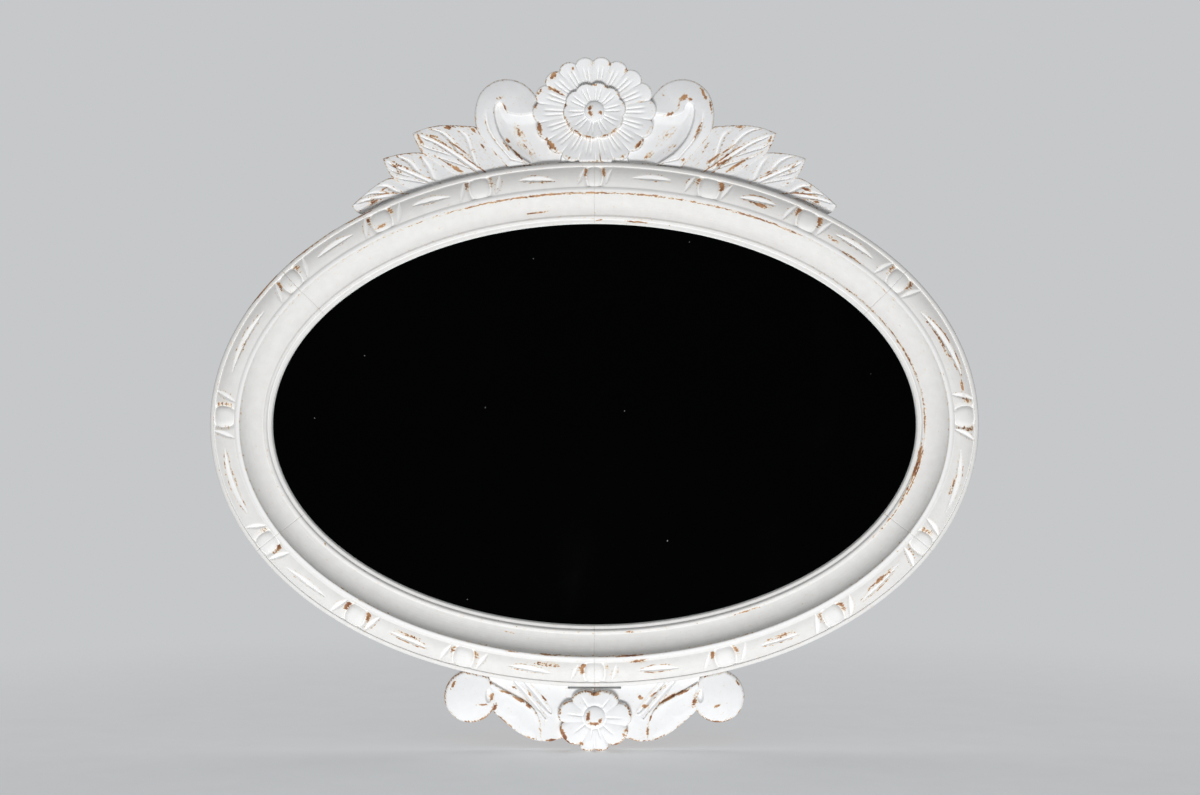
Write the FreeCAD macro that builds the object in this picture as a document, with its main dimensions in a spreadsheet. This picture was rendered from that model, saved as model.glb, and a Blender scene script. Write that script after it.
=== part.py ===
import FreeCAD, Part
import math
import os
import re

import Sketcher

# An oval wall mirror: a ring of six carved rails with a crest above and an apron below.
# X runs to the right, Z up, and the front faces -Y. The origin is the oval's centre on the back plane.

SIZES = {
    # The oval opening, and the rail's width from the opening to the outer edge
    "sight_half_width": 337,
    "sight_half_height": 210,
    "rail_width": 63,
    # The rail's moulding: widths across it, and heights above the back plane
    "rim_width": 4.5,
    "rim_height": 24.5,
    "rim_round": 4,
    "rim_swell": 1.2,
    "band_width": 22,
    "band_foot_height": 22.5,
    "band_head_height": 27,
    "band_crown": 3.4,
    "ridge_width": 5.5,
    "ridge_edge_height": 31.5,
    "ridge_swell": 2.2,
    "cove_height": 28.5,
    "cove_hollow": 3.2,
    "sight_bead_width": 4,
    "sight_bead_height": 15.2,
    "sight_bead_crown": 1.6,
    "lip_width": 4.4,
    "lip_height": 13.4,
    "lip_round": 1.2,
    "lip_swell": 0.3,
    # The carving on the band
    "bead_length": 21,
    "bead_breadth": 19.5,
    "bead_depth": 6,
    "bead_proud": 1.8,
    "tick_length": 20,
    "tick_width": 4.6,
    "tick_depth": 1.8,
    "tick_offset": 18,
    "tick_lean": 24,
    "gouge_length": 56,
    "gouge_width": 4.6,
    "gouge_depth": 1.5,
    # The glass, and the board let in flush behind it
    "rabbet_width": 8,
    "glass_thickness": 4,
    "glass_clearance": 1,
    "ledge_width": 10,
    "board_thickness": 3,
    "board_clearance": 0.5,
    "pin_diameter": 1.6,
    "pin_length": 12,
    # Dowels, and the clearance round each dowel, pin and screw
    "fit_clearance": 0.05,
    "glue_gap": 0.1,
    "rail_dowel_diameter": 8,
    "rail_dowel_length": 40,
    "rail_dowel_height": 13,
    "rail_dowel_inner": 30,
    "rail_dowel_outer": 50,
    "carving_dowel_diameter": 6,
    "carving_dowel_length": 36,
    "carving_dowel_height": 7,
    # The crest's boards, and the flower's place above the ring's top
    "crest_board": 14,
    "flower_rise": 52.7,
    "flower_half_width": 64.5,
    "flower_half_height": 56.8,
    "petal_round": 4,
    "petal_tip_height": 10,
    "petal_root_height": 6.5,
    "petal_flute_width": 3.4,
    "petal_flute_depth": 1.6,
    "flower_shoulder": 3,
    "flower_swell": 0.75,
    "flower_back_inset": 8,
    "heart_half_width": 32.5,
    "heart_half_height": 29.5,
    "heart_round": 3.4,
    "heart_tip_height": 13,
    "heart_root_height": 9.5,
    "heart_flute_width": 2.8,
    "button_radius": 10,
    "button_height": 14.5,
    "button_edge_height": 11,
    # The crest's scroll ear
    "ear_x": 91.5,
    "ear_rise": 54,
    "ear_radius": 33.3,
    "ear_height": 20,
    "ear_dome_radius": 150,
    "ear_root_width": 88,
    "ear_hollow_floor": 14.6,
    "ear_hollow_eye_radius": 5,
    "ear_hollow_eye_width": 10,
    # The crest's leaves: root and tip measured from the ring's top, and half breadths
    "first_leaf_root_x": 98,
    "first_leaf_root_rise": -10,
    "first_leaf_tip_x": 187,
    "first_leaf_tip_rise": 29.3,
    "first_leaf_upper": 27,
    "first_leaf_lower": 21,
    "second_leaf_root_x": 158,
    "second_leaf_root_rise": -27,
    "second_leaf_tip_x": 220.5,
    "second_leaf_tip_rise": 2.8,
    "second_leaf_upper": 23,
    "second_leaf_lower": 16,
    "third_leaf_root_x": 192,
    "third_leaf_root_rise": -28,
    "third_leaf_tip_x": 253.6,
    "third_leaf_tip_rise": -44.6,
    "third_leaf_upper": 19,
    "third_leaf_lower": 14,
    "leaf_edge_height": 12,
    "leaf_rib_height": 17.5,
    "leaf_swell": 2,
    "crest_strip_width": 14,
    # The apron's boards and scrolls, measured down from the ring's foot
    "apron_board": 13,
    "apron_flower_drop": 35,
    "apron_flower_half_width": 39.5,
    "apron_flower_half_height": 32.4,
    "apron_petal_round": 4.5,
    "apron_petal_tip_height": 8,
    "apron_petal_root_height": 11,
    "apron_button_radius": 11,
    "apron_button_edge_height": 11.5,
    "apron_button_height": 15,
    "apron_button_swell": 1.5,
    "apron_groove_width": 3,
    "apron_groove_depth": 1.4,
    "slit_half_width": 28,
    "slit_height": 2.4,
    "volute_x": 129.5,
    "volute_drop": 11,
    "volute_radius": 27.5,
    "volute_height": 19,
    "volute_dome_radius": 90,
    "volute_eye_radius": 4.5,
    "volute_eye_offset": 15,
    "notch_x": 104.3,
    "notch_drop": 28.2,
    "belly_x": 54.8,
    "belly_drop": 57.2,
    "belly_swell": 6,
    "lobe_height": 18,
    "lobe_rib_x": 66,
    "lobe_rib_drop": 20,
    "lobe_rib_swell": 2.5,
    "lobe_rib_run": 15,
    "web_bite": 31.5,
    "web_inner_x": 19.75,
    # The hangers on the back
    "hanger_angle": 45,
    "hanger_across": 47,
    "strap_width": 12,
    "strap_thickness": 1.2,
    "strap_length": 25,
    "knuckle_lift": 0.3,
    "hinge_clearance": 0.1,
    "wire_diameter": 2.5,
    "loop_half_width": 11.25,
    "loop_arm": 3.75,
    "hanger_screw_drop": 20.5,
    "screw_shank_diameter": 3,
    "screw_shank_length": 14,
    "screw_head_diameter": 6.4,
    "screw_head_height": 2,
    "screw_crown_diameter": 4,
    # How far a cutting shape runs past what it cuts
    "overrun": 6,
    "deep_overrun": 12,
}

# Places round the oval, as the angle of its equation, counted from the right end upwards
LOWER_JOINT = -26.2
UPPER_JOINT = 33.2
TOP = 90
BOTTOM = -90
RIGHT_BEADS = (BOTTOM, -68.3, -48.2, LOWER_JOINT, 1.7, UPPER_JOINT, 53.4, 71.1, TOP)
PIN_STEP = 30
CREST_STRIP_END = 58
CREST_DOWELS = (80, 62)
APRON_DOWELS = (-77, -71)

PETALS = 18
PETAL_FLUTES = 36
HEART_PETALS = 10
APRON_PETALS = 8

# The leaf's six sections: how far along, how broad and how high each is
LEAF_ALONG_SHARES = (0, 0.3, 0.55, 0.78, 0.93, 1)
LEAF_BREADTH_SHARES = (0.92, 1, 1, 0.8, 0.46, 0.1)
LEAF_HEIGHT_SHARES = (1, 1, 1, 0.96, 0.9, 0.85)
# The ear's outline: where its circle is left, and how far its two arcs and its hollow reach, of its radius
EAR_NECK_ANGLE = 35
EAR_HIP_ANGLE = -28
EAR_SWELL_SHARES = (0.484, 0.184)
EAR_HOLLOW_REACH_SHARES = (0.3, 0.7, 1.3)
EAR_HOLLOW_FALL_SHARES = (0.1, 0.5)
EAR_EYE_SHARE = 0.8
# The radial flute's start and end on a petal, as shares of the petal's reach from the centre
PETAL_FLUTE_SHARES = (0.5, 0.86)
HEART_FLUTE_SHARES = (0.4, 0.9)
APRON_GROOVE_SHARES = (0.36, 0.82)

RING_TOP = "(sight_half_height + rail_width)"
BAND_MIDDLE = "(rail_width - rim_width - band_width / 2)"
BAND_TOP = "((band_foot_height + band_head_height) / 2 + band_crown)"
GLASS_FRONT = "(board_thickness + glass_thickness)"
RIDGE_INNER = "(rail_width - rim_width - band_width - ridge_width)"
HINGE_DEPTH = "(strap_thickness + wire_diameter / 2 + hinge_clearance + knuckle_lift)"

doc = FreeCAD.newDocument("OvalMirror")
sheet = doc.addObject("Spreadsheet::Sheet", "Sizes")
for row, (alias, number) in enumerate(SIZES.items(), 1):
    sheet.set(f"A{row}", alias)
    sheet.set(f"B{row}", str(number))
    sheet.setAlias(f"B{row}", alias)
doc.recompute()

nodes = {}


# Helpers that tie objects to the sheet

def bound(text):
    """The expression with each size's name pointed at its cell."""
    return re.sub(r"[a-z_]+", lambda word: f"Sizes.{word[0]}" if word[0] in SIZES else word[0], text)


def value(text):
    return float(sheet.evalExpression(bound(text)))


def add(kind, name, **sizes):
    thing = doc.addObject(kind, name)
    for prop, text in sizes.items():
        thing.setExpression(prop, bound(text))
    return thing


def place(thing, x="0", y="0", z="0", pitch="0", roll="0"):
    thing.setExpression(
        "Placement", bound(f"placement(vector({x}; {y}; {z}); rotation(0; {pitch}; {roll}))")
    )
    return thing


def join(name, things):
    fused = doc.addObject("Part::MultiFuse", name)
    fused.Shapes = things
    return fused


def cut(name, base, tool):
    carved = doc.addObject("Part::Cut", name)
    carved.Base = base
    carved.Tool = tool
    return carved


def common(name, first, second):
    shared = doc.addObject("Part::MultiCommon", name)
    shared.Shapes = [first, second]
    return shared


def group(name, things):
    bundle = doc.addObject("Part::Compound", name)
    bundle.Links = things
    return bundle


def mirrored(name, thing):
    twin = doc.addObject("Part::Mirroring", name)
    twin.Source = thing
    twin.Normal = (1, 0, 0)
    return twin


def keep(name, thing):
    thing.Label = name
    nodes[name] = thing
    return thing


def outline(name, points):
    """A closed sketch through points (x, y) or (x, y, swell), each tied to the sheet.

    A swell makes the stretch that ends at its point an arc, standing that far to the left of the
    straight line between its ends, or to the right where it is negative.
    """
    sketch = doc.addObject("Sketcher::SketchObject", name)
    starts = points[-1:] + points[:-1]
    ends = []
    for start, end in zip(starts, points):
        first = FreeCAD.Vector(value(start[0]), value(start[1]), 0)
        last = FreeCAD.Vector(value(end[0]), value(end[1]), 0)
        if len(end) == 2:
            sketch.addGeometry(Part.LineSegment(first, last))
            ends.append((1, 2))
            continue
        side = last - first
        swell = value(end[2])
        radius = (side.Length ** 2 / 4 + swell ** 2) / (2 * abs(swell))
        left = FreeCAD.Vector(-side.y, side.x, 0).normalize()
        centre = (first + last) / 2 + left * (swell - math.copysign(radius, swell))
        turns_left = swell < 0
        begin, finish = (first - centre, last - centre) if turns_left else (last - centre, first - centre)
        circle = Part.Circle(centre, FreeCAD.Vector(0, 0, 1), radius)
        begin_angle = math.atan2(begin.y, begin.x)
        sweep = (math.atan2(finish.y, finish.x) - begin_angle) % (2 * math.pi)
        sketch.addGeometry(Part.ArcOfCircle(circle, begin_angle, begin_angle + sweep))
        ends.append((1, 2) if turns_left else (2, 1))
    for edge, (_, tail) in enumerate(ends):
        after = (edge + 1) % len(points)
        sketch.addConstraint(Sketcher.Constraint("Coincident", edge, tail, after, ends[after][0]))
    for edge, (start, end) in enumerate(zip(starts, points)):
        for kind, text in (("DistanceX", end[0]), ("DistanceY", end[1])):
            tie = sketch.addConstraint(Sketcher.Constraint(kind, -1, 1, edge, ends[edge][1], value(text)))
            sketch.setExpression(f"Constraints[{tie}]", bound(text))
        if len(end) == 3:
            chord = f"(({end[0]} - ({start[0]}))^2 + ({end[1]} - ({start[1]}))^2)"
            radius = f"({chord} / 4 + ({end[2]})^2) / (2 * abs({end[2]}))"
            tie = sketch.addConstraint(Sketcher.Constraint("Radius", edge, value(radius)))
            sketch.setExpression(f"Constraints[{tie}]", bound(radius))
    return sketch


def relief(name, points, front, back="0", x="0", z="0"):
    """A slab with this outline, seen from the front, between two heights above the back plane."""
    sketch = place(outline(f"{name}_outline", points), x, f"-({back})", z, roll="90")
    slab = add("Part::Extrusion", name, LengthFwd=f"{front} - ({back})")
    slab.Base = sketch
    slab.DirMode = "Normal"
    slab.Solid = True
    return slab


def oval(name, half_width, half_height, front, back="0", z="0"):
    """An elliptical slab between two heights above the back plane."""
    ellipse = add("Part::Ellipse", f"{name}_edge", MajorRadius=half_width, MinorRadius=half_height)
    place(ellipse, y=f"-({back})", z=z, roll="90")
    slab = add("Part::Extrusion", name, LengthFwd=f"{front} - ({back})")
    slab.Base = ellipse
    slab.DirMode = "Custom"
    slab.Dir = (0, -1, 0)
    slab.Solid = True
    return slab


# Places round the ring

def lean(angle):
    """The direction, in degrees, in which the ring faces outwards at this place."""
    return f"(atan2(sight_half_width * sin({angle}); sight_half_height * cos({angle})) / 1 deg)"


def ring_spot(angle, across):
    """X and Z of a place so far outwards from the opening's edge."""
    x = f"(sight_half_width * cos({angle}) + ({across}) * cos({lean(angle)}))"
    z = f"(sight_half_height * sin({angle}) + ({across}) * sin({lean(angle)}))"
    return x, z


def along_band(angle, distance):
    """The angle of the place this far along the band, counted anticlockwise."""
    turn = math.radians(angle)
    wide = value(f"sight_half_width + {BAND_MIDDLE}") * math.sin(turn)
    high = value(f"sight_half_height + {BAND_MIDDLE}") * math.cos(turn)
    return angle + math.degrees(value(distance) / math.hypot(wide, high))


def ring_sweep(name, points, start, end):
    """A section, drawn outwards from the opening's edge and up from the back, swept round the oval."""
    path = add("Part::Ellipse", f"{name}_path", MajorRadius="sight_half_width",
               MinorRadius="sight_half_height")
    path.Angle1 = start % 360
    path.Angle2 = end % 360
    place(path, roll="90")
    x, z = ring_spot(start, "0")
    section = place(outline(f"{name}_section", points), x, "0", z, pitch=f"-({lean(start)})", roll="180")
    body = doc.addObject("Part::Sweep", name)
    body.Sections = [section]
    body.Spine = (path, ["Edge1"])
    body.Solid = True
    return body


# The rails

def rail_section():
    bead_outer = "lip_width + sight_bead_width"
    band_inner = "rail_width - rim_width - band_width"
    band_outer = "rail_width - rim_width"
    ledge_outer = "rabbet_width + ledge_width"
    return [
        ("0", GLASS_FRONT),
        ("0", "lip_height - lip_round"),
        ("lip_round", "lip_height", "lip_swell"),
        ("lip_width", "lip_height"),
        ("lip_width", "sight_bead_height"),
        (bead_outer, "sight_bead_height", "sight_bead_crown"),
        (RIDGE_INNER, "cove_height", "-cove_hollow"),
        (RIDGE_INNER, "ridge_edge_height"),
        (band_inner, "band_head_height", "ridge_swell"),
        (band_outer, "band_foot_height", "band_crown"),
        (band_outer, "rim_height"),
        ("rail_width", "rim_height - rim_round", "rim_swell"),
        ("rail_width", "0"),
        (ledge_outer, "0"),
        (ledge_outer, "board_thickness"),
        ("rabbet_width", "board_thickness"),
        ("rabbet_width", GLASS_FRONT),
    ]


def on_band(thing, angle, height, turn="0"):
    x, z = ring_spot(angle, BAND_MIDDLE)
    return place(thing, x, f"-({height})", z, pitch=f"-({lean(angle)} + {turn})", roll="90")


def bead(name, angle, turn="0", half=False):
    oval_bead = add("Part::Ellipsoid", name, Radius1="bead_depth", Radius2="bead_breadth / 2",
                    Radius3="bead_length / 2")
    if half:
        oval_bead.Angle3 = 180
    return on_band(oval_bead, angle, f"{BAND_TOP} + bead_proud - bead_depth", turn)


def tick(name, angle):
    cutter = add("Part::Ellipsoid", name, Radius1="tick_depth", Radius2="tick_length / 2",
                 Radius3="tick_width / 2")
    return on_band(cutter, angle, BAND_TOP, "(-tick_lean)")


def gouge(name, angle):
    cutter = add("Part::Ellipsoid", name, Radius1="gouge_depth", Radius2="gouge_width / 2",
                 Radius3="gouge_length / 2")
    return on_band(cutter, angle, BAND_TOP)


def rail(name, beads, holes):
    """One rail between two joints, with a bead on each joint and the others between them."""
    start, end = beads[0], beads[-1]
    raised = [bead(f"{name}_start_bead", start, "0", half=True),
              bead(f"{name}_end_bead", end, "180", half=True)]
    cutters = list(holes)
    for number, angle in enumerate(beads):
        if angle not in (start, end):
            raised.append(bead(f"{name}_bead_{number}", angle))
        if angle != end:
            cutters.append(tick(f"{name}_tick_after_{number}", along_band(angle, "tick_offset")))
            cutters.append(gouge(f"{name}_gouge_{number}", (angle + beads[number + 1]) / 2))
        if angle != start:
            cutters.append(tick(f"{name}_tick_before_{number}", along_band(angle, "-tick_offset")))
    moulding = ring_sweep(f"{name}_moulding", rail_section(), start, end)
    carved = join(f"{name}_carving", [moulding] + raised)
    return keep(name, cut(name, carved, join(f"{name}_cutters", cutters)))


# Round fasteners: each comes with the hole it needs

def rod(name, diameter, length, x, y, z, pitch, roll="0", clearance="0"):
    stick = add("Part::Cylinder", name, Radius=f"({diameter}) / 2 + ({clearance})",
                Height=f"{length} + ({clearance})")
    return place(stick, x, y, z, pitch, roll)


def rail_dowels(joint):
    """Two dowels across one joint and the holes for them."""
    pegs, holes = [], []
    for across in ("rail_dowel_inner", "rail_dowel_outer"):
        x, z = ring_spot(joint, across)
        back_x = f"({x} + rail_dowel_length / 2 * sin({lean(joint)}))"
        back_z = f"({z} - rail_dowel_length / 2 * cos({lean(joint)}))"
        for found, gap in ((pegs, "0"), (holes, "fit_clearance")):
            found.append(rod(f"rail_dowel_{across[11:]}", "rail_dowel_diameter", "rail_dowel_length", back_x,
                             "-rail_dowel_height", back_z, f"-({lean(joint)})", clearance=gap))
    return pegs, holes


def carving_dowel(angle):
    """A dowel that runs out of the ring into the carving on it, and the hole for it."""
    x, z = ring_spot(angle, "rail_width - carving_dowel_length / 2")
    sizes = ("carving_dowel_diameter", "carving_dowel_length", x, "-carving_dowel_height", z,
             f"90 - ({lean(angle)})")
    return rod("carving_dowel", *sizes), rod("carving_dowel_hole", *sizes, clearance="fit_clearance")


def backing_pin(angle):
    """A panel pin through the backing board into the ledge, and the hole for it."""
    x, z = ring_spot(angle, "rabbet_width + ledge_width / 2")
    sizes = ("pin_diameter", "pin_length", x, "0", z, "0", "90")
    return rod("pin", *sizes), rod("pin_hole", *sizes, clearance="fit_clearance")


# The carved flowers

def petal_outline(petals, half_width, half_height, swell):
    """Round-ended petals that reach an ellipse, with notches between them as deep as the swell."""
    arch = f"{swell} + ({half_width} - {swell}) * (1 - cos({180 / petals}))"
    points = []
    for number in range(petals):
        angle = TOP + number * 360 / petals
        x = f"(({half_width} - {swell}) * cos({angle}))"
        z = f"(({half_height} - {swell}) * sin({angle}))"
        points.append((x, z, f"-({arch})"))
    return points


def turned(name, points, back, z):
    """A turned solid from a half section drawn out from its axis, standing on this height."""
    sketch = outline(f"{name}_half", points)
    place(sketch, y=f"-({back})", z=z, roll="180")
    body = doc.addObject("Part::Revolution", name)
    body.Source = sketch
    body.setExpression("Base", bound(f"vector(0; 0; {z})"))
    body.Axis = (0, -1, 0)
    body.Angle = 360
    body.Solid = True
    return body


def flutes(name, count, half_width, half_height, shares, width, depth, height, z, first=0):
    """Radial gouges round a flower, each between two shares of its petal's reach."""
    inner, outer = shares
    cutters = []
    for number in range(count):
        angle = TOP + first + number * 360 / count
        reach = f"sqrt(({half_width} * cos({angle}))^2 + ({half_height} * sin({angle}))^2)"
        cutter = add("Part::Ellipsoid", f"{name}_{number}", Radius1=depth,
                     Radius2=f"{reach} * {(outer - inner) / 2}", Radius3=f"{width} / 2")
        middle = f"{reach} * {(outer + inner) / 2}"
        place(cutter, f"{middle} * cos({angle})", f"-({height})", f"{z} + {middle} * sin({angle})",
              pitch=f"-{angle}", roll="90")
        cutters.append(cutter)
    return join(name, cutters)


def crest_flower(ring_cutter):
    z = f"({RING_TOP} + flower_rise)"
    petals = petal_outline(PETALS, "flower_half_width", "flower_half_height", "petal_round")
    outer = relief("flower_petals", petals, "crest_board + heart_tip_height", "crest_board", z=z)
    dish = turned("flower_dish", [
        ("0", "0"),
        ("flower_half_width + overrun", "0"),
        ("flower_half_width + overrun", "petal_tip_height - flower_shoulder"),
        ("flower_half_width - flower_shoulder", "petal_tip_height", "-flower_swell"),
        ("heart_half_height", "petal_root_height"),
        ("0", "petal_root_height"),
    ], "crest_board", z)
    hearts = petal_outline(HEART_PETALS, "heart_half_width", "heart_half_height", "heart_round")
    inner = relief("flower_heart", hearts, "crest_board + button_height", "crest_board", z=z)
    bowl = turned("flower_bowl", [
        ("0", "0"),
        ("heart_half_width + overrun", "0"),
        ("heart_half_width + overrun", "heart_tip_height"),
        ("button_radius", "heart_root_height", "flower_swell"),
        ("button_radius", "button_edge_height"),
        ("0", "button_height", "-flower_swell"),
    ], "crest_board", z)
    raised = join("flower_tiers", [common("flower_outer", outer, dish), common("flower_inner", inner, bowl)])
    petal_cuts = flutes("petal_flutes", PETAL_FLUTES, "flower_half_width", "flower_half_height",
                        PETAL_FLUTE_SHARES, "petal_flute_width", "petal_flute_depth",
                        "crest_board + (petal_tip_height + petal_root_height) / 2", z)
    heart_cuts = flutes("heart_flutes", HEART_PETALS, "heart_half_width", "heart_half_height",
                        HEART_FLUTE_SHARES, "heart_flute_width", "petal_flute_depth",
                        "crest_board + (heart_tip_height + heart_root_height) / 2", z)
    cutters = join("flower_cutters", [petal_cuts, heart_cuts, ring_cutter])
    keep("crest_flower", cut("crest_flower", raised, cutters))
    return relief("flower_space", petals, "crest_board + heart_tip_height + overrun", "crest_board", z=z)


def apron_flower(ring_cutter):
    z = f"(-{RING_TOP} - apron_flower_drop)"
    petals = petal_outline(APRON_PETALS, "apron_flower_half_width", "apron_flower_half_height",
                           "apron_petal_round")
    outer = relief("apron_petals", petals, "apron_board + apron_button_height", "apron_board", z=z)
    dome = turned("apron_dome", [
        ("0", "0"),
        ("apron_flower_half_width + overrun", "0"),
        ("apron_flower_half_width + overrun", "apron_petal_tip_height - flower_shoulder"),
        ("apron_button_radius", "apron_petal_root_height", "-flower_shoulder"),
        ("apron_button_radius", "apron_button_edge_height"),
        ("0", "apron_button_height", "-apron_button_swell"),
    ], "apron_board", z)
    grooves = flutes("apron_grooves", APRON_PETALS, "apron_flower_half_width", "apron_flower_half_height",
                     APRON_GROOVE_SHARES, "apron_groove_width", "apron_groove_depth",
                     "apron_board + apron_petal_root_height", z, first=180 / APRON_PETALS)
    keep("apron_flower", cut("apron_flower", common("apron_bloom", outer, dome),
                             join("apron_flower_cutters", [grooves, ring_cutter])))
    return relief("apron_flower_space", petals, "lobe_height + overrun", "apron_board", z=z)


# The crest's wings

def leaf(name):
    """A leaf with a raised midrib: a loft through six sections from its root to its tip."""
    root_x, root_z = f"{name}_root_x", f"({RING_TOP} + {name}_root_rise)"
    tip_x, tip_z = f"{name}_tip_x", f"({RING_TOP} + {name}_tip_rise)"
    aim = f"(atan2({tip_z} - {root_z}; {tip_x} - {root_x}) / 1 deg)"
    sections = []
    for number, along in enumerate(LEAF_ALONG_SHARES):
        broad, high = LEAF_BREADTH_SHARES[number], LEAF_HEIGHT_SHARES[number]
        upper, lower = f"({name}_upper * {broad})", f"({name}_lower * {broad})"
        swell = f"-leaf_swell * {broad}"
        section = outline(f"{name}_section_{number}", [
            (f"-{lower}", "0"),
            (upper, "0"),
            (upper, f"leaf_edge_height * {high}"),
            ("0", f"leaf_rib_height * {high}", swell),
            (f"-{lower}", f"leaf_edge_height * {high}", swell),
        ])
        place(section, f"{root_x} + ({tip_x} - {root_x}) * {along}", "0",
              f"{root_z} + ({tip_z} - {root_z}) * {along}", pitch=f"-({aim} + 90)", roll="180")
        sections.append(section)
    body = doc.addObject("Part::Loft", name)
    body.Sections = sections
    body.Solid = True
    return body


def ear():
    """The domed scroll ear with the comma-shaped hollow that its rim curls round."""
    neck_x = f"(ear_x - ear_radius * cos({EAR_NECK_ANGLE}))"
    neck_rise = f"(ear_rise + ear_radius * sin({EAR_NECK_ANGLE}))"
    hip_x = f"(ear_x + ear_radius * cos({EAR_HIP_ANGLE}))"
    hip_rise = f"(ear_rise + ear_radius * sin({EAR_HIP_ANGLE}))"
    outer_swell, neck_swell = EAR_SWELL_SHARES
    side, root, end = EAR_HOLLOW_REACH_SHARES
    roof, waist = EAR_HOLLOW_FALL_SHARES
    shape = relief("ear_slab", [
        ("0", "-deep_overrun"),
        ("ear_root_width", "-deep_overrun"),
        (hip_x, hip_rise),
        ("ear_x", "ear_rise + ear_radius", f"-ear_radius * {outer_swell}"),
        (neck_x, neck_rise, f"-ear_radius * {neck_swell}"),
        ("0", neck_rise),
    ], "ear_height + overrun", z=RING_TOP)
    ball = add("Part::Sphere", "ear_ball", Radius="ear_dome_radius")
    place(ball, "ear_x", "ear_dome_radius - ear_height", f"{RING_TOP} + ear_rise")
    hollow = relief("ear_hollow", [
        ("ear_x + ear_hollow_eye_width", "ear_rise + ear_hollow_eye_radius"),
        ("ear_x", "ear_rise + ear_hollow_eye_radius", f"-ear_hollow_eye_radius * {EAR_EYE_SHARE}"),
        (f"ear_x - ear_radius * {root}", f"ear_rise - ear_radius * {roof}", "ear_hollow_eye_radius"),
        (f"ear_x - ear_radius * {end}", f"ear_rise - ear_radius * {roof}"),
        (f"ear_x - ear_radius * {end}", "-deep_overrun"),
        (f"ear_x - ear_radius * {root}", "-deep_overrun"),
        (f"ear_x + ear_radius * {side}", f"ear_rise - ear_radius * {waist}", "-ear_hollow_eye_radius"),
    ], "ear_height + overrun", "ear_hollow_floor", z=RING_TOP)
    return cut("ear", common("ear_dome", shape, ball), hollow)


def crest_wing(ring_cutter, flower_space, holes):
    board = relief("crest_root", [
        ("0", "-deep_overrun"),
        ("ear_root_width", "-deep_overrun"),
        ("ear_root_width", "ear_rise"),
        ("0", "ear_rise"),
    ], "crest_board", z=RING_TOP)
    back = common("flower_back_half", oval("flower_back", "flower_half_width - flower_back_inset",
                                           "flower_half_height - flower_back_inset", "crest_board",
                                           z=f"{RING_TOP} + flower_rise"),
                  relief("crest_right_side", [
                      ("0", "-flower_half_height"),
                      ("flower_half_width", "-flower_half_height"),
                      ("flower_half_width", "crest_board + flower_rise + flower_half_height"),
                      ("0", "crest_board + flower_rise + flower_half_height"),
                  ], "crest_board", z=RING_TOP))
    strip = ring_sweep("crest_strip", [
        ("rail_width", "0"),
        ("rail_width", "leaf_edge_height"),
        ("rail_width + crest_strip_width", "leaf_edge_height"),
        ("rail_width + crest_strip_width", "0"),
    ], CREST_STRIP_END, TOP)
    leaves = [leaf(name) for name in ("first_leaf", "second_leaf", "third_leaf")]
    whole = join("crest_wing_block", [board, back, strip, ear()] + leaves)
    wing = cut("crest_wing", whole, join("crest_wing_cutters", [ring_cutter, flower_space] + holes))
    keep("crest_right_wing", wing)
    keep("crest_left_wing", mirrored("crest_left_wing", wing))


# The apron's scrolls

def apron_scroll(ring_cutter, flower_space, holes):
    foot = f"-{RING_TOP}"
    web = relief("apron_web", [
        ("0", "-slit_height"),
        ("slit_half_width", "-slit_height"),
        ("slit_half_width", "web_bite"),
        ("volute_x", "web_bite"),
        ("volute_x", "-volute_drop"),
        ("lobe_rib_x", "-notch_drop"),
        ("web_inner_x", "-belly_drop + slit_height"),
        ("0", "-belly_drop + slit_height"),
    ], "apron_board", z=foot)
    lobe = relief("apron_lobe", [
        ("notch_x", "-notch_drop"),
        ("belly_x", "-belly_drop", "belly_swell"),
        ("web_inner_x", "-belly_drop"),
        ("lobe_rib_x - lobe_rib_run", "-lobe_rib_drop - lobe_rib_run"),
        ("lobe_rib_x", "-lobe_rib_drop", "-lobe_rib_swell"),
        ("notch_x", "-volute_drop", "lobe_rib_swell"),
    ], "lobe_height", z=foot)
    disc = rod("volute_disc", "volute_radius * 2", "volute_height + overrun", "volute_x", "0",
               f"{foot} - volute_drop", "0", "90")
    ball = add("Part::Sphere", "volute_ball", Radius="volute_dome_radius")
    place(ball, "volute_x", "volute_dome_radius - volute_height", f"{foot} - volute_drop")
    volute = common("volute", disc, ball)
    eye = add("Part::Sphere", "volute_eye", Radius="volute_eye_radius")
    place(eye, "volute_x - volute_eye_offset", "-volute_height", f"{foot} - volute_drop + volute_eye_radius")
    whole = join("apron_scroll_block", [web, lobe, volute])
    cutters = join("apron_scroll_cutters", [ring_cutter, flower_space, eye] + holes)
    scroll = cut("apron_scroll", whole, cutters)
    keep("apron_right_scroll", scroll)
    keep("apron_left_scroll", mirrored("apron_left_scroll", scroll))


# The glass and the board

def pane_and_board(pin_holes):
    reach = "rabbet_width - glass_clearance"
    keep("mirror_glass", oval("mirror_glass", f"sight_half_width + {reach}", f"sight_half_height + {reach}",
                              GLASS_FRONT, "board_thickness"))
    spread = "rabbet_width + ledge_width - board_clearance"
    board = oval("backing_blank", f"sight_half_width + {spread}", f"sight_half_height + {spread}",
                 "board_thickness")
    keep("backing_board", cut("backing_board", board, join("backing_pin_holes", pin_holes)))


# The hangers

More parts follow.
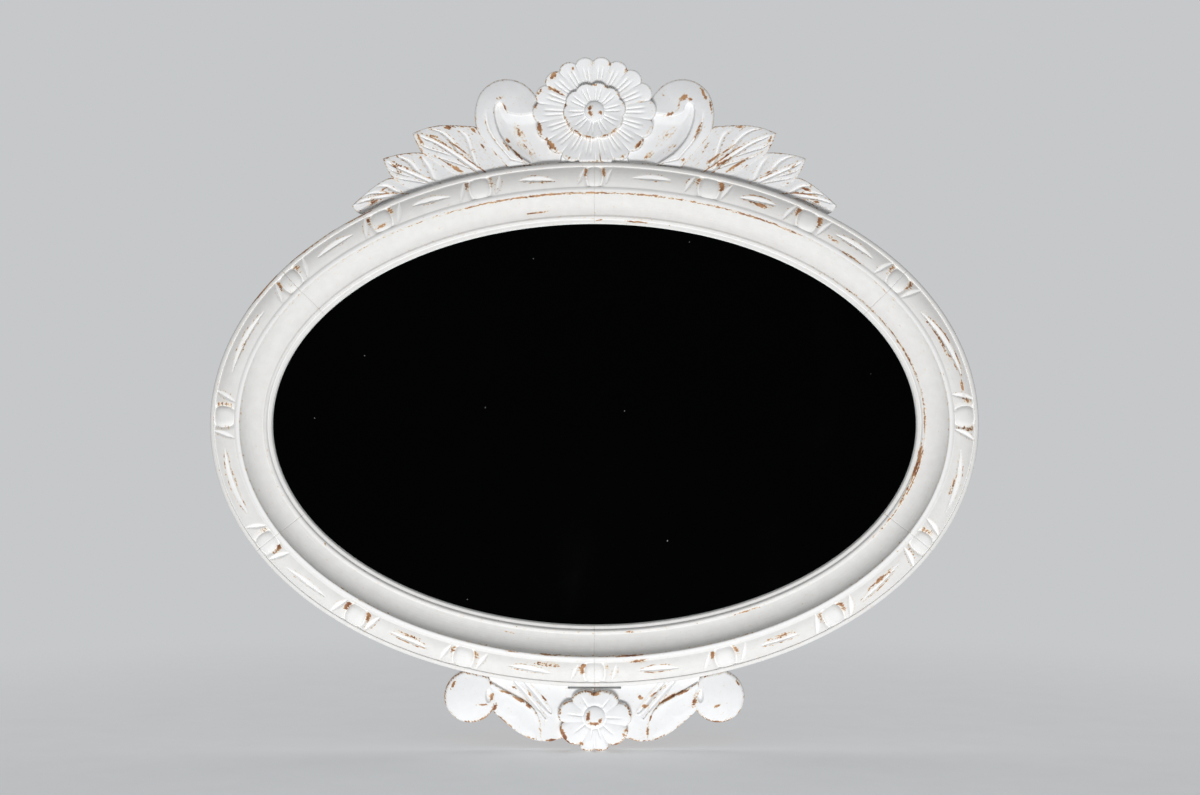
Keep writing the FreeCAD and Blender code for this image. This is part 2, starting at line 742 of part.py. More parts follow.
def hanger(side, angle):
    """A strap with a rolled knuckle, the D-shaped wire loop that swings in it, its screw and screw hole."""
    x, z = ring_spot(angle, "hanger_across")
    plate = add("Part::Box", f"{side}_plate", Length="strap_width", Width="strap_thickness",
                Height="strap_length")
    place(plate, f"{x} - strap_width / 2", "0", f"{z} - strap_length")
    tail = rod(f"{side}_tail", "strap_width", "strap_thickness", x, "strap_thickness",
               f"{z} - strap_length", "0", "90")
    knuckle = rod(f"{side}_knuckle", "wire_diameter + 2 * (hinge_clearance + strap_thickness)", "strap_width",
                  f"{x} - strap_width / 2", HINGE_DEPTH, z, "90")
    bore = rod(f"{side}_bore", "wire_diameter + 2 * hinge_clearance", "strap_width + overrun",
               f"{x} - strap_width / 2 - overrun / 2", HINGE_DEPTH, z, "90")
    screw_z = f"{z} - hanger_screw_drop"
    shank_sizes = ("screw_shank_diameter", "screw_shank_length + strap_thickness", x, "strap_thickness", screw_z,
                   "0", "90")
    hole = rod(f"{side}_screw_hole", *shank_sizes, clearance="fit_clearance")
    strap = cut(f"{side}_strap", join(f"{side}_strap_blank", [plate, tail, knuckle]),
                join(f"{side}_strap_holes", [bore, hole]))
    keep(f"hanger_{side}_strap", strap)

    bow = add("Part::Torus", f"{side}_bow", Radius1="loop_half_width", Radius2="wire_diameter / 2")
    bow.Angle3 = 180
    place(bow, x, HINGE_DEPTH, f"{z} - loop_arm", roll="-90")
    bar = rod(f"{side}_bar", "wire_diameter", "loop_half_width * 2", f"{x} - loop_half_width",
              HINGE_DEPTH, z, "90")
    wires = [bow, bar]
    for sign in ("+", "-"):
        arm_x = f"{x} {sign} loop_half_width"
        wires.append(rod(f"{side}_arm", "wire_diameter", "loop_arm", arm_x, HINGE_DEPTH, f"{z} - loop_arm", "0"))
        corner = add("Part::Sphere", f"{side}_corner", Radius="wire_diameter / 2")
        wires.append(place(corner, arm_x, HINGE_DEPTH, z))
    keep(f"hanger_{side}_ring", join(f"{side}_ring", wires))

    shank = rod(f"{side}_shank", *shank_sizes)
    head = add("Part::Cone", f"{side}_head", Radius1="screw_head_diameter / 2",
               Radius2="screw_crown_diameter / 2", Height="screw_head_height")
    place(head, x, "strap_thickness", screw_z, roll="-90")
    return join(f"{side}_screw", [shank, head]), hole


def ring_cutter(name, start, end):
    """The space that the ring takes, with the glue gap round it."""
    outer = "rail_width + glue_gap"
    return ring_sweep(name, [
        ("0", "-overrun"),
        ("0", "ridge_edge_height + overrun"),
        (outer, "ridge_edge_height + overrun"),
        (outer, "-overrun"),
    ], start, end)


def build():
    left_beads = tuple(180 - angle for angle in reversed(RIGHT_BEADS))
    lower, upper = RIGHT_BEADS.index(LOWER_JOINT), RIGHT_BEADS.index(UPPER_JOINT)
    left_upper, left_lower = len(RIGHT_BEADS) - 1 - upper, len(RIGHT_BEADS) - 1 - lower
    rails = {
        "rail_bottom_right": RIGHT_BEADS[:lower + 1],
        "rail_right": RIGHT_BEADS[lower:upper + 1],
        "rail_top_right": RIGHT_BEADS[upper:],
        "rail_top_left": left_beads[:left_upper + 1],
        "rail_left": left_beads[left_upper:left_lower + 1],
        "rail_bottom_left": left_beads[left_lower:],
    }
    joints = {beads[0]: rail_dowels(beads[0]) for beads in rails.values()}
    joints[left_beads[-1]] = joints[BOTTOM]
    crest_pegs = {angle: carving_dowel(angle) for side in CREST_DOWELS for angle in (side, 180 - side)}
    apron_pegs = {angle: carving_dowel(angle) for side in APRON_DOWELS for angle in (side, 180 - side)}
    pins = {angle: backing_pin(angle) for angle in range(BOTTOM + PIN_STEP // 2, BOTTOM + 360, PIN_STEP)}
    right_angle = value("hanger_angle")
    screws = {right_angle: hanger("right", right_angle), 180 - right_angle: hanger("left", 180 - right_angle)}

    for name, beads in rails.items():
        holes = joints[beads[0]][1] + joints[beads[-1]][1]
        for fasteners in (crest_pegs, apron_pegs, pins, screws):
            holes += [hole for angle, (_, hole) in fasteners.items() if beads[0] < angle < beads[-1]]
        rail(name, beads, holes)

    keep("rail_dowels", group("rail_dowels", [peg for beads in rails.values() for peg in joints[beads[0]][0]]))
    for name, pegs in (("crest_dowels", crest_pegs), ("apron_dowels", apron_pegs), ("backing_pins", pins),
                       ("hanger_screws", screws)):
        keep(name, group(name, [peg for peg, _ in pegs.values()]))
    pane_and_board([hole for _, hole in pins.values()])

    over_top = ring_cutter("ring_over_top", UPPER_JOINT / 2, 180 - UPPER_JOINT / 2)
    flower_space = crest_flower(over_top)
    crest_wing(over_top, flower_space, [crest_pegs[angle][1] for angle in CREST_DOWELS])
    under_foot = ring_cutter("ring_under_foot", 180 - LOWER_JOINT, 360 + LOWER_JOINT)
    apron_space = apron_flower(under_foot)
    apron_scroll(under_foot, apron_space, [apron_pegs[angle][1] for angle in APRON_DOWELS])


def check_and_write():
    doc.recompute()
    failed = [thing.Name for thing in doc.Objects if {"Invalid", "Error"} & set(thing.State)]
    if failed:
        raise RuntimeError(f"did not build: {failed}")
    os.makedirs("parts", exist_ok=True)
    for name, thing in nodes.items():
        shape = thing.Shape
        if shape.isNull() or not shape.isValid() or not shape.Solids:
            raise RuntimeError(f"{name} is not a valid solid")
        print(f"{name}: {len(shape.Solids)} solids, {len(shape.Faces)} faces, {shape.Volume / 1000:.1f} cm3")
    for name, thing in nodes.items():
        thing.Shape.exportStep(f"parts/{name}.step")


build()
check_and_write()
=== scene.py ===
# %% [markdown]
# # An oval wall mirror in a carved, rubbed white frame
# The mirror is a ring of six curved rails with beads and gouge cuts on it, a crest with a flower,
# two scroll ears and six leaves above, and an apron with a small flower and two scrolls below.
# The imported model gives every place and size, so it is loaded first and its box is kept.
# The carving is then modelled over it, piece by piece, in the same frame: X to the right, Z up, and
# the front towards -Y. Sizes are written in millimetres and turned to metres when a mesh is laid.

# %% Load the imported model
import bpy
import math
from functools import partial
import numpy as np
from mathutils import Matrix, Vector


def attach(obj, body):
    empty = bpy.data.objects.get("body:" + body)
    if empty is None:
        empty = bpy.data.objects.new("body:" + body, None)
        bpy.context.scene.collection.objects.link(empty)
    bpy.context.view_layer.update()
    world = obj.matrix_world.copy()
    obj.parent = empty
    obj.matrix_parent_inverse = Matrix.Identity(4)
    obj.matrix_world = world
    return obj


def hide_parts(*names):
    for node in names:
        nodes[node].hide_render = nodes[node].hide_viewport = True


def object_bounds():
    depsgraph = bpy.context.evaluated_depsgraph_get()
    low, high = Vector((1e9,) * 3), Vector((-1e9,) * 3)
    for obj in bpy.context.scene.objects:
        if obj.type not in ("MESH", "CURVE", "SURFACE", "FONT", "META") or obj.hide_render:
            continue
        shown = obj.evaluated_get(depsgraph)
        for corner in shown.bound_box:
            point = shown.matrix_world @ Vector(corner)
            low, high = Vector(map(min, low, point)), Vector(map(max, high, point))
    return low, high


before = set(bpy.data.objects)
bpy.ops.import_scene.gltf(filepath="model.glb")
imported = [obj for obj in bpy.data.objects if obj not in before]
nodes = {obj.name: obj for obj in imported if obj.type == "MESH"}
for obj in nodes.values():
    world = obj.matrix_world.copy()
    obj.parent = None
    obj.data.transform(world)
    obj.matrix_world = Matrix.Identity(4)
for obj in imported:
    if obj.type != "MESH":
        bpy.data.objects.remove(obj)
packed_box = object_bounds()
scene = bpy.context.scene
print("packed model:", len(nodes), "nodes, from", packed_box[0], "to", packed_box[1])

# %% [markdown]
# ## The camera
# The photograph looks at the mirror square on. A long lens keeps the oval's near and far edges the
# same size, as they are there. The distance follows from the width that the picture takes in.

# %% Camera square on to the glass
PICTURE_WIDTH, LENS, SENSOR = 1.249, 70.0, 36.0
AIM_X, AIM_Y, AIM_Z = 0.0058, -0.02, 0.028
camera_data = bpy.data.cameras.new("camera")
camera_data.lens = LENS
camera_data.sensor_width = SENSOR
camera = bpy.data.objects.new("camera", camera_data)
scene.collection.objects.link(camera)
camera.location = (AIM_X, AIM_Y - PICTURE_WIDTH * LENS / SENSOR, AIM_Z)
camera.rotation_euler = (math.pi / 2, 0, 0)
scene.camera = camera
print("camera stands", round(-camera.location.y, 3), "m in front of the wall plane")

# %% [markdown]
# ## The oval that everything follows
# The opening is an ellipse, and each line of the moulding runs at the same distance outside it.
# So a place on the ring is an angle and a distance outwards, and the ring's outer edge, which the
# crest and the apron stand on, is the line at the rail's full width.

# %% Places on the ring
MM = 0.001
SIGHT_HALF_WIDTH, SIGHT_HALF_HEIGHT, RAIL_WIDTH = 337.0, 210.0, 63.0
RING_TOP = SIGHT_HALF_HEIGHT + RAIL_WIDTH
GLUE_LINE, EDGE_POINTS = 0.15, 900


def ring_lean(angle):
    """The way that points straight outwards from the opening's edge."""
    return np.arctan2(SIGHT_HALF_WIDTH * np.sin(angle), SIGHT_HALF_HEIGHT * np.cos(angle))


def ring_place(angle, across):
    """x and z of the place this far outwards from the opening's edge."""
    lean = ring_lean(angle)
    x = SIGHT_HALF_WIDTH * np.cos(angle) + across * np.cos(lean)
    z = SIGHT_HALF_HEIGHT * np.sin(angle) + across * np.sin(lean)
    return x, z


EDGE_X, EDGE_Z = ring_place(np.radians(np.linspace(90, 0, EDGE_POINTS)), RAIL_WIDTH + GLUE_LINE)


def ring_edge(x):
    """Height of the ring's outer edge above its centre line, at this x."""
    return np.interp(np.abs(x), EDGE_X, EDGE_Z)


print("outer edge:", round(EDGE_X[-1], 1), "by", round(EDGE_Z[0], 1), "mm from the middle")

# %% [markdown]
# ## From a flat grid to a carved solid
# Carving is a surface whose height changes from place to place, with a crisp outline and a flat back.
# Extruding and bevelling give flat steps and not the hollows that a gouge leaves. So each carved
# part starts as a grid, its points are laid on the shape that the formulas give, and edit mode then
# merges the seams, fills the ends and turns the faces outwards.
# Two marks are kept on the points. The rub and highlight mark is above zero where the paint is worn
# through, and below zero where the paint is laid whiter as a painted highlight, which in a cut is partly
# also fresh paint lying thick. Grain is the distance along and across the tool's way, which the paint's
# brush lines follow later. Each piece starts at its own distance, so no streak repeats.

# %% Keep marks on the points
def read(items, field, width=1, kind=np.float32):
    """One value, or one row of values, for each point, edge or face."""
    values = np.empty(len(items) * width, kind)
    items.foreach_get(field, values)
    return values.reshape(-1, width) if width > 1 else values


def write_mark(mesh, name, values):
    """Keep one number or one vector with each point of a mesh."""
    kind, field = ("FLOAT", "value") if values.ndim == 1 else ("FLOAT_VECTOR", "vector")
    mark = mesh.attributes.get(name) or mesh.attributes.new(name, kind, "POINT")
    mark.data.foreach_set(field, values.astype(np.float32).ravel())


print("a mesh can keep marks on its points")

# %% Lay a grid on a shape and close it
SEAM = 0.002


def volume(mesh):
    """The volume that the faces close in, below zero when they look inwards."""
    mesh.calc_loop_triangles()
    corners = read(mesh.loop_triangles, "vertices", 3, np.int32)
    a, b, c = read(mesh.vertices, "co", 3)[corners].astype(float).transpose(1, 0, 2)
    return float((a * np.cross(b, c)).sum() / 6)


def carve(name, x, height, z, rub_and_highlight, along, across):
    """A closed solid from arrays of places, in millimetres, one for each point of a grid."""
    columns, rows = x.shape[0] - 1, x.shape[1] - 1
    bpy.ops.object.select_all(action="DESELECT")
    bpy.ops.mesh.primitive_grid_add(x_subdivisions=columns, y_subdivisions=rows, size=2)
    piece = bpy.context.object
    piece.name = piece.data.name = name
    flat = read(piece.data.vertices, "co", 3)
    i = np.rint((flat[:, 0] + 1) / 2 * columns).astype(int)
    j = np.rint((flat[:, 1] + 1) / 2 * rows).astype(int)
    laid = np.stack((x[i, j], -height[i, j], z[i, j]), 1) * MM
    piece.data.vertices.foreach_set("co", laid.astype(np.float32).ravel())
    write_mark(piece.data, "rub_and_highlight", rub_and_highlight[i, j])
    write_mark(piece.data, "grain", np.stack((along[i, j], across[i, j], 0 * i), 1))
    bpy.ops.object.mode_set(mode="EDIT")
    bpy.ops.mesh.select_all(action="SELECT")
    bpy.ops.mesh.remove_doubles(threshold=SEAM * MM)
    bpy.ops.mesh.fill_holes(sides=0)
    bpy.ops.mesh.select_all(action="SELECT")
    bpy.ops.mesh.normals_make_consistent(inside=False)
    bpy.ops.object.mode_set(mode="OBJECT")
    if volume(piece.data) < 0:
        bpy.ops.object.mode_set(mode="EDIT")
        bpy.ops.mesh.flip_normals()
        bpy.ops.object.mode_set(mode="OBJECT")
    return piece


print("a grid can be laid and closed, with seams merged below", SEAM, "mm")

# %% Draw lines and smooth steps
CURVE_STEPS = 40


def run_along(line):
    """How far along a line each of its points is."""
    return np.concatenate(([0], np.cumsum(np.hypot(*np.diff(line, axis=0).T))))


def spaced(line, run, count):
    """Evenly spaced places on a line, by the distances that run gives its points."""
    even = np.linspace(0, run[-1], count)
    return np.column_stack([np.interp(even, run, line[:, k]) for k in (0, 1)])


def smooth_line(points, count):
    """Evenly spaced places on a smooth line through the given ones."""
    p = np.array(points, float)
    p = np.vstack((2 * p[0] - p[1], p, 2 * p[-1] - p[-2]))
    t = np.linspace(0, 1, CURVE_STEPS, endpoint=False)[:, None]
    runs = [(2 * b + (c - a) * t + (2 * a - 5 * b + 4 * c - d) * t**2
             + (3 * b - a - 3 * c + d) * t**3) / 2 for a, b, c, d in zip(p, p[1:], p[2:], p[3:])]
    line = np.vstack(runs + [p[-2:-1]])
    return spaced(line, run_along(line), count)


def ease(value, low, high):
    """0 below low, 1 above high, and a smooth step between them."""
    t = np.clip((value - low) / (high - low), 0, 1)
    return t * t * (3 - 2 * t)


def hump(value, width):
    """A rounded bump of height 1 about zero."""
    return np.exp(-((value / width) ** 2))


def dome(value, radius):
    """A half ball of height 1 about zero."""
    return np.sqrt(np.clip(1 - (value / radius) ** 2, 0, None))


print("a smooth line has", CURVE_STEPS, "steps between two places")

# %% [markdown]
# ## The moulding's section
# A rail is a length of moulding: a lip and a small bead by the glass, a hollow cove that rises to a
# rounded ridge, a swelling band for the carving, and a rounded rim. On the real frame the spindle
# moulder cuts this in one pass. Here it is drawn once as a closed line of straight runs and arcs:
# each point has its distance outwards, its height and, where the run up to it is an arc, its swell.
# The front corners are then eased a little, because thick chalk paint never leaves a knife edge.

# %% Draw the section
SECTION = [(0, 7), (0, 12.2), (1.2, 13.4, 0.3), (4.4, 13.4), (4.4, 15.2), (8.4, 15.2, 1.6),
           (30.6, 28.3, -4.2), (30.9, 30.2), (36.8, 28.9, 0.8), (58.5, 22.5, 2.6), (58.5, 24.5),
           (63, 20.5, 1.2), (63, 0)]
SECTION_BACK = [(18, 0), (18, 3), (8, 3), (8, 7), (0, 7)]
FRONT_ROWS, WALL_ROWS = 118, 4
LINE_STEP, EASED_POINTS, CORNER_SHARE = 0.08, 27, 0.9
BAND_INNER, BAND_OUTER, BAND_MIDDLE = 36.5, 58.5, 47.5
RIDGE_EDGE, RIDGE_TOP, SIGHT_BEAD = 30.4, 33.0, 8.0


def section_rows():
    """Distances outwards and heights of the section's points, closer together round its corners."""
    runs = []
    for start, end in zip(SECTION, SECTION[1:]):
        a, b = np.array(start[:2], float), np.array(end[:2], float)
        side = b - a
        length = np.hypot(*side)
        t = np.linspace(0, 1, max(int(length / LINE_STEP), 2), endpoint=False)[:, None]
        swell = end[2] if len(end) == 3 else 0
        left = np.array((-side[1], side[0])) / length
        runs.append(a + side * t + left * swell * 4 * t * (1 - t))
    line = np.vstack(runs + [[SECTION[-1]]])
    weights = np.exp(-np.linspace(-2, 2, EASED_POINTS) ** 2)
    weights /= weights.sum()
    padded = np.pad(line, ((EASED_POINTS // 2, EASED_POINTS // 2), (0, 0)), mode="edge")
    line = np.column_stack([np.convolve(padded[:, k], weights, mode="valid") for k in (0, 1)])
    line[0], line[-1] = SECTION[0][:2], SECTION[-1][:2]
    step = np.diff(line, axis=0)
    turn = np.abs(np.diff(np.unwrap(np.arctan2(step[:, 1], step[:, 0])), prepend=0))
    turn[0] = 0
    reach = np.concatenate(([0], np.cumsum(np.hypot(*step.T) + CORNER_SHARE * turn)))
    return np.vstack((spaced(line, reach, FRONT_ROWS), SECTION_BACK))


rail_rows = section_rows()
print("section:", len(rail_rows), "points, highest", round(rail_rows[:, 1].max(), 2), "mm")

# %% [markdown]
# ## The beads, ticks and gouges on the band
# The carver marked sixteen places round the band. At each one a gouge turned downwards leaves a
# bead like a small barrel in its own ditch, and a slanting chip on each side of it makes a tick. One
# long shallow gouge cut fills each space between. The cuts are never quite alike, so each gets its
# own small slant and length from a seeded table, and every run of the script gives the same ones.

# %% Cut one chip
RIM_AWAY, RIM_WIDTH = 0.7, 1.0


def lens_cut(p, q, slant, half_length, half_width, depth, deepest):
    """Depth of a chip with two pointed ends, and its rim. Its deep side is straight, its other bowed."""
    along = q * math.cos(slant) - p * math.sin(slant)
    taper = np.clip(1 - (along / half_length) ** 2, 0, None)
    width = half_width * taper + 1e-6
    beside = p * math.cos(slant) + q * math.sin(slant) + deepest * width
    side = np.clip(beside / width, -1, 1)
    bowl = np.where(side < deepest, (side + 1) / (1 + deepest), (1 - side) / (1 - deepest))
    rim = hump(np.abs(beside) - width - RIM_AWAY, RIM_WIDTH) * (np.abs(along) < half_length)
    return depth * np.sqrt(taper) * bowl, rim * np.sqrt(taper)


print("a chip's rim lies", RIM_AWAY, "mm outside it")

# %% Work out the band's carving
RIGHT_BEADS = (-90, -68.3, -48.2, -26.2, 1.7, 33.2, 53.4, 71.1, 90)
LEFT_BEADS = tuple(180 - angle for angle in reversed(RIGHT_BEADS))
TOP_BEAD, TOP_BEAD_SIZE = 90, 0.76
BEAD_HALF_LENGTH, BEAD_HALF_BREADTH, BEAD_RISE, BEAD_SQUARENESS = 10.4, 12.2, 2.9, 2.5
BARREL_FLATNESS, BARREL_ROUNDING = 4.5, 0.8
DITCH, DITCH_WIDTH = 2.2, 2.6
TICK_HALF_LENGTH, TICK_HALF_WIDTH, TICK_DEPTH, TICK_OFFSET, TICK_LEAN = 12.4, 3.1, 2.2, 19.6, 24.0
TICK_LEAST, TICK_MORE_AT_SIDES = 0.75, 0.27
GOUGE_HALF_WIDTH, GOUGE_DEPTH, GOUGE_SHARE, GOUGE_MORE_AT_SIDES = 3.1, 2.3, 0.17, 0.09
GROUND_REACH, GROUND_WIDTH, GROUND_HALF_BREADTH = 1.25, 2.8, 10.5
# Cuts between these depths and the beads' tops are painted whiter, a painted highlight that in the cuts is
# partly also pooled paint.
FRESH_AND_HIGHLIGHT_DEPTHS = (0.05, 0.5)
BEAD_HIGHLIGHT, LEAST_FRESH_AND_HIGHLIGHT = 0.5, 0.1


def band_carving(along, across, places, beads, deepest, chance):
    """What the carving adds to the band's height, where it is rubbed, and where whiter paint is laid as a
    highlight, for one rail.
    """
    bead_sizes = np.where(np.array(beads) == TOP_BEAD, TOP_BEAD_SIZE, 1.0)
    tick_sizes = TICK_LEAST + TICK_MORE_AT_SIDES * np.abs(np.cos(np.radians(beads)))
    upwards = np.sin(np.radians(beads))
    q = across - BAND_MIDDLE
    lift, rub_and_highlight, fresh_paint_and_highlight = np.zeros((3, *along.shape))
    for number, place in enumerate(places):
        p = along - place
        size, tick_size = bead_sizes[number], tick_sizes[number]
        reach = (np.abs(p / BEAD_HALF_LENGTH / size) ** BEAD_SQUARENESS
                 + np.abs(q / BEAD_HALF_BREADTH) ** BEAD_SQUARENESS) ** (1 / BEAD_SQUARENESS)
        barrel = BEAD_RISE * np.clip(1 - reach**BARREL_FLATNESS, 0, None) ** BARREL_ROUNDING - DITCH
        ditch = -DITCH * hump(np.clip(reach - 1, 0, None) * BEAD_HALF_LENGTH, DITCH_WIDTH)
        lift += np.where(reach < 1, barrel, ditch)
        # The bead's top is painted whiter, a painted highlight, and so are the ticks and gouge cuts below,
        # where it is partly also pooled paint.
        fresh_paint_and_highlight = np.maximum(fresh_paint_and_highlight, BEAD_HIGHLIGHT * ease(0.98 - reach, 0, 0.08))
        beside = hump((reach - GROUND_REACH) * BEAD_HALF_LENGTH, GROUND_WIDTH)
        beside = beside * ease(GROUND_HALF_BREADTH - np.abs(q), 0, 3) * ease(q * upwards[number], -6, 5)
        for side in (-1, 1):
            slant = math.radians(TICK_LEAN + chance.uniform(-4, 4))
            offset = side * size * (TICK_OFFSET + chance.uniform(-0.8, 0.8))
            half_width = TICK_HALF_WIDTH * tick_size * chance.uniform(0.9, 1.1)
            cut, rim = lens_cut(p - offset, q, slant, TICK_HALF_LENGTH * tick_size, half_width,
                                TICK_DEPTH, deepest[0])
            lift -= cut
            fresh_paint_and_highlight = np.maximum(fresh_paint_and_highlight, ease(cut, *FRESH_AND_HIGHLIGHT_DEPTHS))
            ground = beside * (p * side > 0) * (cut < 0.1)
            rub_and_highlight = np.maximum(rub_and_highlight, ground * chance.uniform(0.5, 1.05))
            rub_and_highlight = np.maximum(rub_and_highlight, rim * chance.uniform(0.1, 0.5))
        if number + 1 < len(places):
            p = along - (place + places[number + 1]) / 2 - chance.uniform(-2, 2)
            slant = math.radians(90 + chance.uniform(-7, 7))
            sideways = math.cos(math.radians(beads[number] + beads[number + 1]) / 2) ** 2
            half_length = (places[number + 1] - place) * (GOUGE_SHARE + GOUGE_MORE_AT_SIDES * sideways)
            half_length *= chance.uniform(0.92, 1.08)
            cut, rim = lens_cut(p, q - chance.uniform(-1.5, 1.5), slant, half_length, GOUGE_HALF_WIDTH,
                                GOUGE_DEPTH, deepest[1])
            lift -= cut
            fresh_paint_and_highlight = np.maximum(fresh_paint_and_highlight, ease(cut, *FRESH_AND_HIGHLIGHT_DEPTHS))
            rub_and_highlight = np.maximum(rub_and_highlight, rim * chance.uniform(0.35, 0.75))
    return lift, np.where(fresh_paint_and_highlight > LEAST_FRESH_AND_HIGHLIGHT, -fresh_paint_and_highlight, rub_and_highlight)


chance = np.random.default_rng(16)
print("sixteen beads, thirty-two ticks and sixteen gouge cuts are set out")

# %% [markdown]
# ## The six rails
# Each rail runs from one glue joint to the next, and every joint lies under a bead, as on the real
# ring. The section is repeated along the rail about every three quarters of a millimetre, which is
# fine enough for the smallest chip. The last steps at each end dip a little, so that the joints show
# as hairlines. The cove is worn under the ridge, most at the top, and by the glass on the right. The
# ridge's crown is painted whiter, a painted highlight.

# %% Make the rails
RAILS = {"rail_bottom_right": RIGHT_BEADS[:4], "rail_right": RIGHT_BEADS[3:6],
         "rail_top_right": RIGHT_BEADS[5:], "rail_top_left": LEFT_BEADS[:4],
         "rail_left": LEFT_BEADS[3:6], "rail_bottom_left": LEFT_BEADS[5:]}
END_STEPS, FIRST_STEP, STEP = np.array((0.04, 0.3, 0.7)), 1.3, 0.78
HAIRLINE_DEPTH, HAIRLINE_EDGE = 0.45, 0.5
TICK_DEEPEST, GOUGE_DEEPEST = 0.35, 0.5
RUN_POINTS, GRAIN_SHIFT = 4000, 700
RIDGE_WEAR, RIDGE_WEAR_TOP, RIDGE_WEAR_FOOT = 0.24, 0.46, 0.2
GLASS_WEAR, GLASS_WEAR_RIGHT = 0.16, 0.44
WORN_TOP, WORN_FOOT, WORN_RIGHT, WORN_UPWARDS = (170, 235), (210, 250), (200, 300), (-150, -60)
made = {}


def make_rail(name, beads):
    fine = np.radians(np.linspace(beads[0], beads[-1], RUN_POINTS))
    run = run_along(np.column_stack(ring_place(fine, BAND_MIDDLE)))
    length = run[-1]
    inner = np.linspace(FIRST_STEP, length - FIRST_STEP, int(length / STEP))
    steps = np.concatenate((END_STEPS, inner, length - END_STEPS[::-1]))
    along, across = np.meshgrid(steps, rail_rows[:, 0], indexing="ij")
    x, z = ring_place(np.interp(along, run, fine), across)
    front = np.arange(len(rail_rows)) < FRONT_ROWS - WALL_ROWS
    deepest = (-TICK_DEEPEST if "right" in name else TICK_DEEPEST,
               GOUGE_DEEPEST if "bottom" in name else -GOUGE_DEEPEST)
    places = np.interp(np.radians(beads), fine, run)
    lift, rub_and_highlight = band_carving(along, across, places, beads, deepest, chance)
    on_band = front * ease(across, BAND_INNER, BAND_INNER + 1) * ease(BAND_OUTER - across, 0, 1)
    end = np.minimum(along, length - along)
    hairline = HAIRLINE_DEPTH * ease(HAIRLINE_EDGE - end, 0, 0.45) * front
    hairline *= (across < RAIL_WIDTH - HAIRLINE_EDGE) * (across > HAIRLINE_EDGE)
    rub_and_highlight = rub_and_highlight * on_band
    by_ridge = RIDGE_WEAR + RIDGE_WEAR_TOP * ease(z, *WORN_TOP) + RIDGE_WEAR_FOOT * ease(-z, *WORN_FOOT)
    by_glass = GLASS_WEAR + GLASS_WEAR_RIGHT * ease(x, *WORN_RIGHT) * ease(z, *WORN_UPWARDS)
    in_cove = np.maximum(by_ridge * hump(across - RIDGE_EDGE, 1.1),
                         by_glass * hump(across - SIGHT_BEAD, 1.3))
    rub_and_highlight = np.where(rub_and_highlight < 0, rub_and_highlight, np.maximum(rub_and_highlight, in_cove * front))
    # The ridge's crown is painted whiter, a painted highlight.
    rub_and_highlight = np.where(rub_and_highlight < LEAST_FRESH_AND_HIGHLIGHT, np.minimum(rub_and_highlight, -hump(across - RIDGE_TOP, 2.4) * front), rub_and_highlight)
    made[name] = carve(name + "_carved", x, rail_rows[:, 1] + lift * on_band - hairline, z, rub_and_highlight,
                       along + GRAIN_SHIFT * len(made), across)
    print(name, round(length), "mm long,", len(made[name].data.polygons), "faces")


for rail_name, rail_beads in RAILS.items():
    make_rail(rail_name, rail_beads)

# %% [markdown]
# ## Carved discs
# A flower, an ear or a volute is one boss with a crisp outline. Spokes from its middle to its
# outline carry the points, so the outline stays exact however many petals it has. The wall goes
# straight down to the back, as a bandsaw leaves it, and keeps its paint, because no cloth rubs there.

# %% From an outline and a height to a disc
WALL_LINE, SPOKE_BIAS, HALVINGS = 0.75, 0.3, 30
EDGE_RUB, SCROLL_RUB = 0.42, 0.52


def round_line(angle, reach, middle):
    """Places at these angles and reaches from a middle."""
    return np.column_stack((np.cos(angle), np.sin(angle))) * np.reshape(reach, (-1, 1)) + middle


def outside_ring(edge, middle):
    """The outline, with what would lie in the ring pulled back along its spoke to the ring's edge."""
    low, high = np.zeros(len(edge)), np.ones(len(edge))
    for _ in range(HALVINGS):
        half = (low + high) / 2
        spot = middle + (edge - middle) * half[:, None]
        clear = np.abs(spot[:, 1]) > ring_edge(spot[:, 0])
        low, high = np.where(clear, half, low), np.where(clear, high, half)
    whole = np.abs(edge[:, 1]) > ring_edge(edge[:, 0])
    return middle + (edge - middle) * np.where(whole, 1, low)[:, None]


def make_disc(name, edge, middle, rings, surface, back=0.0):
    """A boss whose surface function gives height, rub and painted highlight, and the way along and across
    the tool marks.
    """
    middle = np.array(middle, float)
    edge = outside_ring(edge, middle)
    edge = np.vstack((edge, edge[:1]))
    t = np.arange(rings + 1) / rings
    share = np.concatenate(((1 + SPOKE_BIAS) * t - SPOKE_BIAS * t**2, (1, 1, 0.5, 0)))[None, :]
    x = middle[0] + share * (edge[:, :1] - middle[0])
    z = middle[1] + share * (edge[:, 1:] - middle[1])
    from_edge = (1 - share) * np.hypot(*(edge - middle).T)[:, None]
    height, rub_and_highlight, along, across = surface(x, z, from_edge)
    number = np.arange(rings + 5)[None, :]
    wall = back + WALL_LINE * (height[:, rings:rings + 1] - back)
    height = np.where(number <= rings, height, np.where(number == rings + 1, wall, back))
    return carve(name, x, height, z, np.where(number <= rings, rub_and_highlight, 0), along, across)


def eased_edge(from_edge, radius):
    """How far a rounded arris falls away at this distance from the edge."""
    inside = np.clip(1 - from_edge / radius, 0, 1)
    return radius * (1 - np.sqrt(1 - inside**2))


print("disc maker is ready")

# %% [markdown]
# ## The crest's flower
# The flower has eighteen petals that dip towards the middle, a raised heart of ten smaller ones, and
# a domed button. Two thin gouge lines run out from the heart to the middle of each petal. It stands
# on the crest's board, in front of where the two wings meet.

